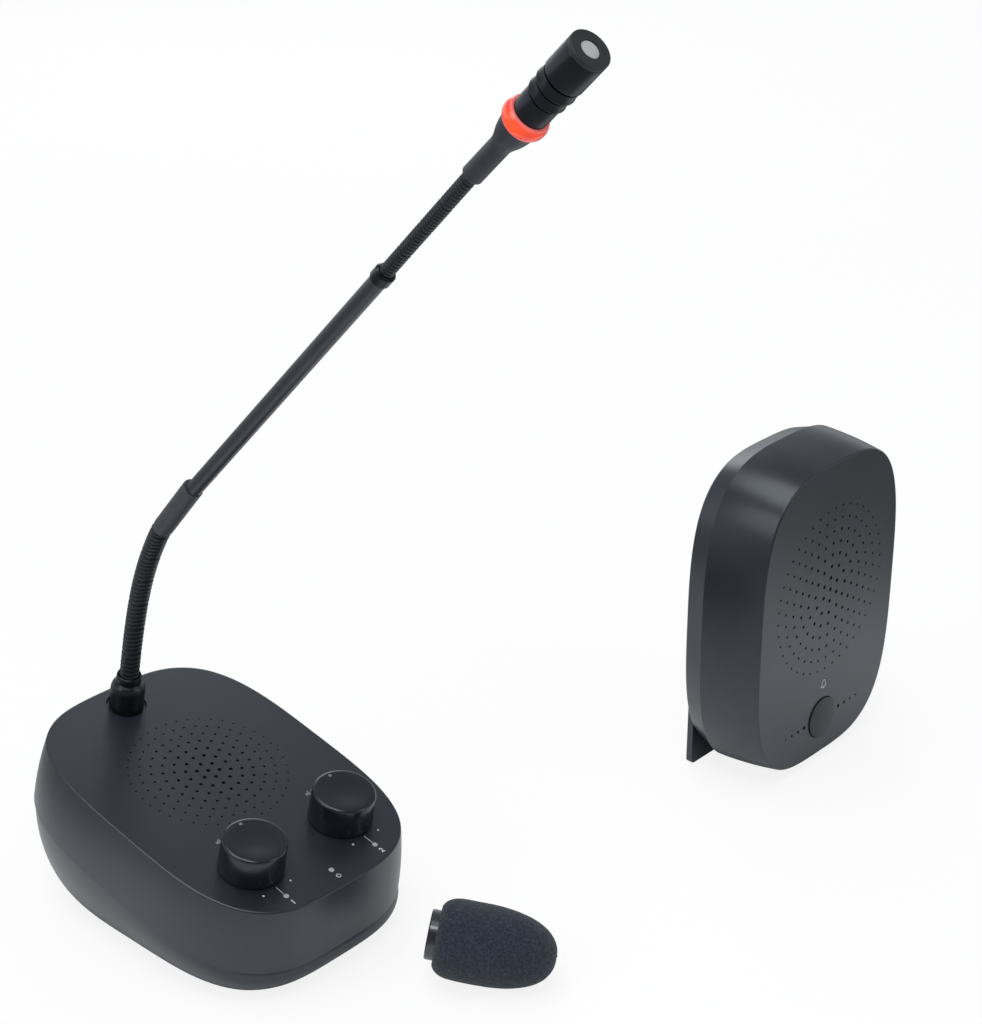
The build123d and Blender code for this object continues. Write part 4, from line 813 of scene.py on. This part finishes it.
# ---------------------------------------------------------------- gooseneck hoses
def bend_points(start, knee, end, low, high):
    """Points of the rounded way from start to end past a knee, between two shares of it."""
    points = []
    for step in range(BEND_STEPS + 1):
        t = low + (high - low) * step / BEND_STEPS
        points.append(start * (1 - t) ** 2 + knee * 2 * t * (1 - t) + end * t**2)
    return points


def knee_share(start, knee, end):
    """Share of that way at which it passes its knee."""
    return 1 / (1 + sqrt((end - knee).length / (knee - start).length))


def along_path(path, distances):
    """Places on a path and its directions there, at rising distances from its start."""
    last = len(path) - 1
    ends = [(path[max(k - 1, 0)], path[min(k + 1, last)]) for k in range(last + 1)]
    ways = [(after - before).normalized() for before, after in ends]
    found = []
    index = 0
    gone = 0.0
    for distance in distances:
        step = (path[index + 1] - path[index]).length
        while gone + step < distance and index < last - 1:
            gone += step
            index += 1
            step = (path[index + 1] - path[index]).length
        share = (distance - gone) / step
        spot = path[index].lerp(path[index + 1], share)
        way = ways[index].lerp(ways[index + 1], share).normalized()
        found.append((spot, way))
    return found


def add_rings(points, faces, rings):
    """A closed skin over rings, each given as its place, direction and radius."""
    start = len(points)
    for place_on, along, radius in rings:
        side = along.cross(ACROSS)
        for k in range(HOSE_SEGMENTS):
            turn = 2 * pi * k / HOSE_SEGMENTS
            points.append(place_on + (ACROSS * cos(turn) - side * sin(turn)) * radius * MM)
    for row in range(len(rings) - 1):
        low = start + row * HOSE_SEGMENTS
        high = low + HOSE_SEGMENTS
        for k in range(HOSE_SEGMENTS):
            beside = (k + 1) % HOSE_SEGMENTS
            faces.append((low + k, low + beside, high + beside, high + k))


def hose_length(name, path, size, trims, knee):
    """Ribbed hose along a path, its ends in grooves, with a ball in its first knee's groove."""
    total = sum((b - a).length for a, b in zip(path, path[1:]))
    start = trims[0] * MM
    usable = total - start - trims[1] * MM
    ribs = max(1, round(usable / MM / size["pitch"]))
    groove = size["radius"] - size["groove"]
    rows = [(0.0, 0.0)]
    for rib in range(ribs):
        for step in range(RIB_STEPS):
            turn = pi * step / RIB_STEPS
            radius = size["radius"] - size["groove"] * (1 - sin(turn))
            rows.append(((rib + (1 - cos(turn)) / 2) / ribs, radius))
    rows += [(1.0, groove), (1.0, 0.0)]
    spots = along_path(path, [start + share * usable for share, radius in rows])
    skin = [(spot, way, radius) for (spot, way), (share, radius) in zip(spots, rows)]
    points = []
    faces = []
    add_rings(points, faces, skin)
    along = spots[0][1]
    ball = []
    for step in range(BALL_STEPS + 1):
        turn = pi * step / BALL_STEPS
        ball.append((knee - along * groove * cos(turn) * MM, along, groove * sin(turn)))
    add_rings(points, faces, ball)
    return add_piece(name, mesh_of(name, points, faces, weld=1e-7), slot_materials["flex"])


def make_hose(name, chain, first_axis, last_axis, size):
    """A hose in rigid lengths from knee to knee, each on its own body, as in a gooseneck."""
    knees = [Vector(bends[pair]["pos_m"]) for pair in zip(chain, chain[1:])]
    stops = [knees[0] + first_axis * size["lead"] * MM]
    stops += [(a + b) / 2 for a, b in zip(knees, knees[1:])]
    stops.append(knees[-1] + last_axis * size["tail"] * MM)
    spans = list(zip(stops, knees, stops[1:]))
    last = len(knees) - 1
    trim = size["knee_gap"] / 2
    for k, knee in enumerate(knees):
        path = bend_points(*spans[k], knee_share(*spans[k]) if k else 0.0, 1.0)
        if k < last:
            path += bend_points(*spans[k + 1], 0.0, knee_share(*spans[k + 1]))[1:]
        trims = (trim if k else 0.0, trim if k < last else 0.0)
        piece = hose_length(f"{name}_hose_{k + 1}", path, size, trims, knee)
        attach(piece, chain[k + 1])
        if k < last:
            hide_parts(f"{name}_flex_link_{k + 1}")


# ---------------------------------------------------------------- foam windscreen
def copied_mesh(node, name):
    """A copy of a CAD node's mesh with its split points joined."""
    mesh = nodes[node].data.copy()
    mesh.name = name
    work = bmesh.new()
    work.from_mesh(mesh)
    bmesh.ops.remove_doubles(work, verts=work.verts, dist=1e-6)
    work.to_mesh(mesh)
    work.free()
    return mesh


def foam_profile():
    """Outline of the windscreen as (radius, height): bore, round shoulder and blunt nose."""
    skin = []
    for step in range(FOAM_SHOULDER_POINTS):
        height = FOAM_WIDEST * (step / FOAM_SHOULDER_POINTS) ** FOAM_SHOULDER_EASE
        share = ((FOAM_WIDEST - height) / FOAM_SHOULDER_REACH) ** FOAM_SHOULDER_POWER
        skin.append(Vector((FOAM_RADIUS * (1 - share) ** (1 / FOAM_SHOULDER_POWER), height)))
    for step in range(FOAM_NOSE_POINTS):
        turn = pi / 2 * step / (FOAM_NOSE_POINTS - 1)
        rise = sin(turn) ** (2 / FOAM_NOSE_POWER)
        radius = FOAM_RADIUS * max(0.0, cos(turn)) ** (2 / FOAM_NOSE_POWER)
        skin.append(Vector((radius, FOAM_WIDEST + (foam_length - FOAM_WIDEST) * rise)))
    even = [skin[0]]
    for point in skin:
        if (point - even[-1]).length >= FOAM_STEP:
            even.append(point)
    even[-1] = Vector((0, foam_length))
    foot = [(FOAM_SEAT_RADIUS, 0), (FOAM_END_RADIUS, 0)]
    return foot + [tuple(point) for point in even] + FOAM_BORE_BACK


def make_foam_piece():
    """The windscreen as open-cell foam, its pores sunk in from the skin."""
    at = place(foam_foot, ACROSS, foam_axis)
    foam = lathe("windscreen_cells", at, foam_profile(), slot_materials["foam"], 176)
    foam.data.shade_smooth()
    for vertex in foam.data.vertices:
        offset = vertex.co - foam_foot
        height = offset.dot(foam_axis)
        radius = (offset - height * foam_axis).length
        if radius < FOAM_END_RADIUS * MM and height < foam_length * FOAM_BORE_SHARE * MM:
            continue
        cell = noise.voronoi(vertex.co / (FOAM_CELL * MM))[0][0]
        pore = max(0.0, 1 - cell / FOAM_PORE_SIZE) ** FOAM_PORE_POWER
        swell = noise.noise(vertex.co / (FOAM_SWELL_CELL * MM)) * 0.5 + 0.5
        vertex.co -= vertex.normal * (pore * FOAM_PORE_DEPTH + swell * FOAM_SWELL_DEPTH) * MM
    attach(foam, "windscreen")
    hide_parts("windscreen_foam")


# ---------------------------------------------------------------- screws and sockets
def islands(mesh):
    """Groups of vertex indices that belong to the same solid."""
    work = bmesh.new()
    work.from_mesh(mesh)
    work.verts.ensure_lookup_table()
    left = set(range(len(work.verts)))
    groups = []
    while left:
        stack = [left.pop()]
        group = []
        while stack:
            index = stack.pop()
            group.append(index)
            for edge in work.verts[index].link_edges:
                other = edge.other_vert(work.verts[index]).index
                if other in left:
                    left.remove(other)
                    stack.append(other)
        groups.append(group)
    work.free()
    return groups


def cross_cutter(name, at):
    """A tapered cross that cuts a screwdriver recess, its mouth on the frame's plane."""
    points = []
    for height, share in RECESS_TAPER:
        arm, width = RECESS_ARM * share, RECESS_WIDTH * (share + 1) / 2
        cross = [(arm, width), (width, width), (width, arm)]
        cross += [(-width, arm), (-width, width), (-arm, width)]
        cross += [(-x, -y) for x, y in cross]
        points += [at @ (Vector((x, y, height)) * MM) for x, y in cross]
    sides = 12
    faces = [tuple(range(sides)), tuple(range(3 * sides - 1, 2 * sides - 1, -1))]
    for row in range(2):
        low, high = row * sides, (row + 1) * sides
        for k in range(sides):
            beside = (k + 1) % sides
            faces.append((low + k, low + beside, high + beside, high + k))
    cutter = bpy.data.objects.new(name, mesh_of(name, points, faces, weld=1e-8))
    bpy.context.scene.collection.objects.link(cutter)
    return cutter


def make_screws(node, axis, body):
    """Pan heads with round edges and cross recesses on screws whose threads run along an axis."""
    mesh = copied_mesh(node, node + "_heads")
    groups = islands(mesh)
    seats = []
    for group in groups:
        centre = sum((mesh.vertices[index].co for index in group), Vector()) / len(group)
        low = min((mesh.vertices[index].co - centre).dot(axis) for index in group)
        seats.append(centre + axis * low)
    work = bmesh.new()
    work.from_mesh(mesh)
    rims = []
    for edge in work.edges:
        heights = [(vertex.co - seats[0]).dot(axis) for vertex in edge.verts]
        if max(abs(height) for height in heights) < 1e-6 and edge.calc_face_angle(0) > 1:
            rims.append(edge)
    size = HEAD_ROUND * MM
    bmesh.ops.bevel(work, geom=rims, offset=size, segments=4, profile=0.5, affect="EDGES")
    work.to_mesh(mesh)
    work.free()
    screws = add_piece(node + "_heads", mesh, finish_of(node))
    mouths = [place(seat, ACROSS, -axis) for seat in seats]
    cutters = [cross_cutter(f"cutter_{k}", mouth) for k, mouth in enumerate(mouths)]
    for cutter in cutters:
        cut = screws.modifiers.new("recess", "BOOLEAN")
        cut.object = cutter
        cut.operation = "DIFFERENCE"
        cut.solver = "EXACT"
    mesh = final_mesh(screws)
    screws.modifiers.clear()
    screws.data = mesh
    for cutter in cutters:
        bpy.data.objects.remove(cutter)
    screws.data.materials.clear()
    screws.data.materials.append(finish_of(node))
    screws.data.shade_smooth()
    screws.data.set_sharp_from_angle(angle=SMOOTH_ANGLE)
    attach(screws, body)
    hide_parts(node)


def socket_mouth(node):
    """Frame at the middle of a rear socket's mouth, its normal out of the wall."""
    low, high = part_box(node)
    mouth = Vector(((low.x + high.x) / 2, high.y, (low.z + high.z) / 2))
    return place(mouth, ACROSS, Vector((0, 1, 0)))


def make_socket_metal():
    """Plated ferrules in the link sockets and the plated pin of the power inlet."""
    for node, body in (("desk_link_socket", "desk"), ("outer_link_socket", "outer_station")):
        inner, outer = (LINK_BORE, FERRULE_PROUD), (FERRULE_OUTER, FERRULE_PROUD)
        outline = [(LINK_BORE, -FERRULE_DEPTH), (FERRULE_OUTER, -0.1), (FERRULE_OUTER, 0.02)]
        outline += eased(outer, (FERRULE_OUTER, 0), inner, 0.1, 2)
        outline += eased(inner, outer, (LINK_BORE, -1), 0.3, 4)
        ferrule = lathe(node + "_ferrule", socket_mouth(node), outline, plated, 48)
        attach(ferrule, body)
    foot = -POWER_PIN_DEPTH
    tip = foot + POWER_PIN_LENGTH
    radius = POWER_PIN
    outline = [(0, foot), (radius, foot)]
    outline += [*eased((radius, tip), (radius, foot), (0, tip), 0.5, 5), (0, tip)]
    pin = lathe("power_inlet_pin", socket_mouth("power_inlet"), outline, plated, 32)
    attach(pin, "desk")


# ---------------------------------------------------------------- stage
def make_floor():
    """Pale floor: white to the camera with the object's shadow on it; in reflections its far part
    is a painted dim glow.
    """
    material, tree, body = new_material("floor_paper", 0.9)
    tint(tree, body, grain(tree, 2), (0.94, 0.94, 0.94), (0.96, 0.96, 0.96))
    body.inputs["Specular IOR Level"].default_value = 0.0
    path = tree.nodes.new("ShaderNodeLightPath").outputs

    def glow(strength):
        node = tree.nodes.new("ShaderNodeEmission")
        node.inputs["Strength"].default_value = strength
        return node.outputs["Emission"]

    spot = tree.nodes.new("ShaderNodeNewGeometry").outputs["Position"]
    nearest = tree.nodes.new("ShaderNodeMath")
    nearest.operation = "MINIMUM"
    for station, socket in zip((desk_face, outer_face), nearest.inputs):
        centre = station.translation
        node = tree.nodes.new("ShaderNodeVectorMath")
        node.operation = "DISTANCE"
        node.inputs[1].default_value = (centre.x, centre.y, 0)
        tree.links.new(spot, node.inputs[0])
        tree.links.new(node.outputs["Value"], socket)
    # painted reflection: away from the stations, gloss rays see a dim glow instead of the lit
    # floor
    away = smooth_range(tree, nearest.outputs["Value"], REFLECTED_FLOOR_EDGE, 0.0, 1.0)
    reflected_shade = scaled(tree, path["Is Glossy Ray"], away)
    shader = mixed(tree, reflected_shade, body.outputs["BSDF"], glow(REFLECTED_FLOOR_SHADE))
    seen = scaled(tree, path["Is Camera Ray"], FLOOR_WHITENESS)
    shader = mixed(tree, seen, shader, glow(1.0))
    tree.links.new(shader, tree.nodes["Material Output"].inputs["Surface"])
    corners = [(x, y, -FLOOR_DROP) for x, y in FLOOR_CORNERS]
    mesh = mesh_of("floor", corners, [[0, 1, 2, 3]])
    floor = add_piece("floor", mesh, material, smooth=False)


def make_world():
    """White to the camera, a white sweep under a greyer ceiling in gloss, plain ambient light."""
    world = bpy.data.worlds.new("studio")
    bpy.context.scene.world = world
    world.use_nodes = True
    tree = world.node_tree
    tree.nodes.clear()
    output = tree.nodes.new("ShaderNodeOutputWorld")
    path = tree.nodes.new("ShaderNodeLightPath").outputs

    def background(colour, strength):
        node = tree.nodes.new("ShaderNodeBackground")
        node.inputs["Color"].default_value = (*colour, 1)
        node.inputs["Strength"].default_value = strength
        return node

    white = background(WHITE, 1.0).outputs[0]
    ambient = background(SKY, AMBIENT).outputs[0]
    mirrored = background(SKY, 1.0)
    way = tree.nodes.new("ShaderNodeTexCoord").outputs["Generated"]
    split = tree.nodes.new("ShaderNodeSeparateXYZ")
    tree.links.new(way, split.inputs["Vector"])
    fade = smooth_range(tree, split.outputs["Z"], SWEEP_TOP, 1.0, CEILING)
    towards_front = dot_with(tree, way, (sin(CAMERA_AZIMUTH), -cos(CAMERA_AZIMUTH), 0))
    side = smooth_range(tree, towards_front, DARK_SIDE, 1.0, DARK_SIDE_LEVEL)
    tree.links.new(scaled(tree, fade, side), mirrored.inputs["Strength"])
    shader = mixed(tree, path["Is Glossy Ray"], ambient, mirrored.outputs[0])
    shader = mixed(tree, path["Is Transmission Ray"], shader, white)
    shader = mixed(tree, path["Is Camera Ray"], shader, white)
    tree.links.new(shader, output.inputs["Surface"])


def add_lamp(name, light, spot, target):
    """A lamp at a spot, turned to a target, that the camera doesn't see."""
    lamp = bpy.data.objects.new(name, light)
    lamp.location = spot
    lamp.rotation_euler = (Vector(target) - Vector(spot)).to_track_quat("-Z", "Y").to_euler()
    lamp.visible_camera = False
    bpy.context.scene.collection.objects.link(lamp)


def softbox(name, spot, target, width, height, power):
    light = bpy.data.lights.new(name, "AREA")
    light.shape = "RECTANGLE"
    light.size = width
    light.size_y = height
    light.energy = power
    add_lamp(name, light, spot, target)


def make_lights():
    """Soft studio light: a large key from the left, a front fill, a rim light and a top light."""
    softbox("key", (-1.6, 0.2, 1.3), (0.05, 0, 0.1), 1.0, 1.0, KEY_POWER)
    softbox("front", (0.9, -1.8, 0.9), (0.1, 0, 0.15), 0.5, 1.3, FRONT_POWER)
    softbox("rim", (1.3, 1.4, 1.1), (0.1, 0, 0.2), 0.8, 0.8, RIM_POWER)
    softbox("overhead", (-0.42, -0.5, 1.4), (0.05, -0.02, 0.05), 0.5, 0.25, OVERHEAD_POWER)
    sun = bpy.data.lights.new("top", "SUN")
    sun.energy = SUN_POWER
    sun.angle = radians(40)
    add_lamp("top", sun, (-0.3, 0.3, 2.0), (0, 0, 0))


def make_camera():
    """Camera at the studio picture's viewing angle."""
    camera_data = bpy.data.cameras.new("camera")
    camera_data.lens = CAMERA_LENS
    camera_data.sensor_width = SENSOR
    camera_data.sensor_fit = "AUTO"
    camera_data.clip_start = 0.01
    camera_data.clip_end = 50
    camera = bpy.data.objects.new("camera", camera_data)
    ground = cos(CAMERA_ELEVATION)
    back = Vector(
        (sin(CAMERA_AZIMUTH) * ground, -cos(CAMERA_AZIMUTH) * ground, sin(CAMERA_ELEVATION))
    )
    camera.location = CAMERA_PLACE
    camera.rotation_euler = back.to_track_quat("Z", "Y").to_euler()
    bpy.context.scene.collection.objects.link(camera)
    bpy.context.scene.camera = camera


# ---------------------------------------------------------------- the scene
dress_nodes()
make_knob("left")
make_knob("right")
make_boot()
make_head()
stem_foot = Vector(bends[("lower_link_6", "stem")]["pos_m"])
stem_axis = (middle("elbow_sleeve") - stem_foot).normalized()
collar_axis = (middle("stem_collar") - middle("stem_tube")).normalized()
lower_chain = ["desk", *(f"lower_link_{k}" for k in range(1, 7)), "stem"]
upper_chain = ["stem", *(f"upper_link_{k}" for k in range(1, 5)), "microphone"]
make_hose("lower", lower_chain, desk_normal, stem_axis, LOWER_HOSE)
make_hose("upper", upper_chain, collar_axis, head_axis, UPPER_HOSE)
make_foam_piece()
make_screws("desk_cover_screws", desk_normal, "desk")
make_screws("outer_cover_screws", outer_normal, "outer_station")
make_socket_metal()
print_desk_marks()
print_rocker()
bell = bell_sign(0, BELL_ROW, BELL_SIZE, BELL_STROKE)
flat_patch("marks_bell", outer_face, bell, "outer_station")
make_floor()
make_world()
make_lights()
make_camera()
bpy.context.scene.view_settings.view_transform = "Standard"
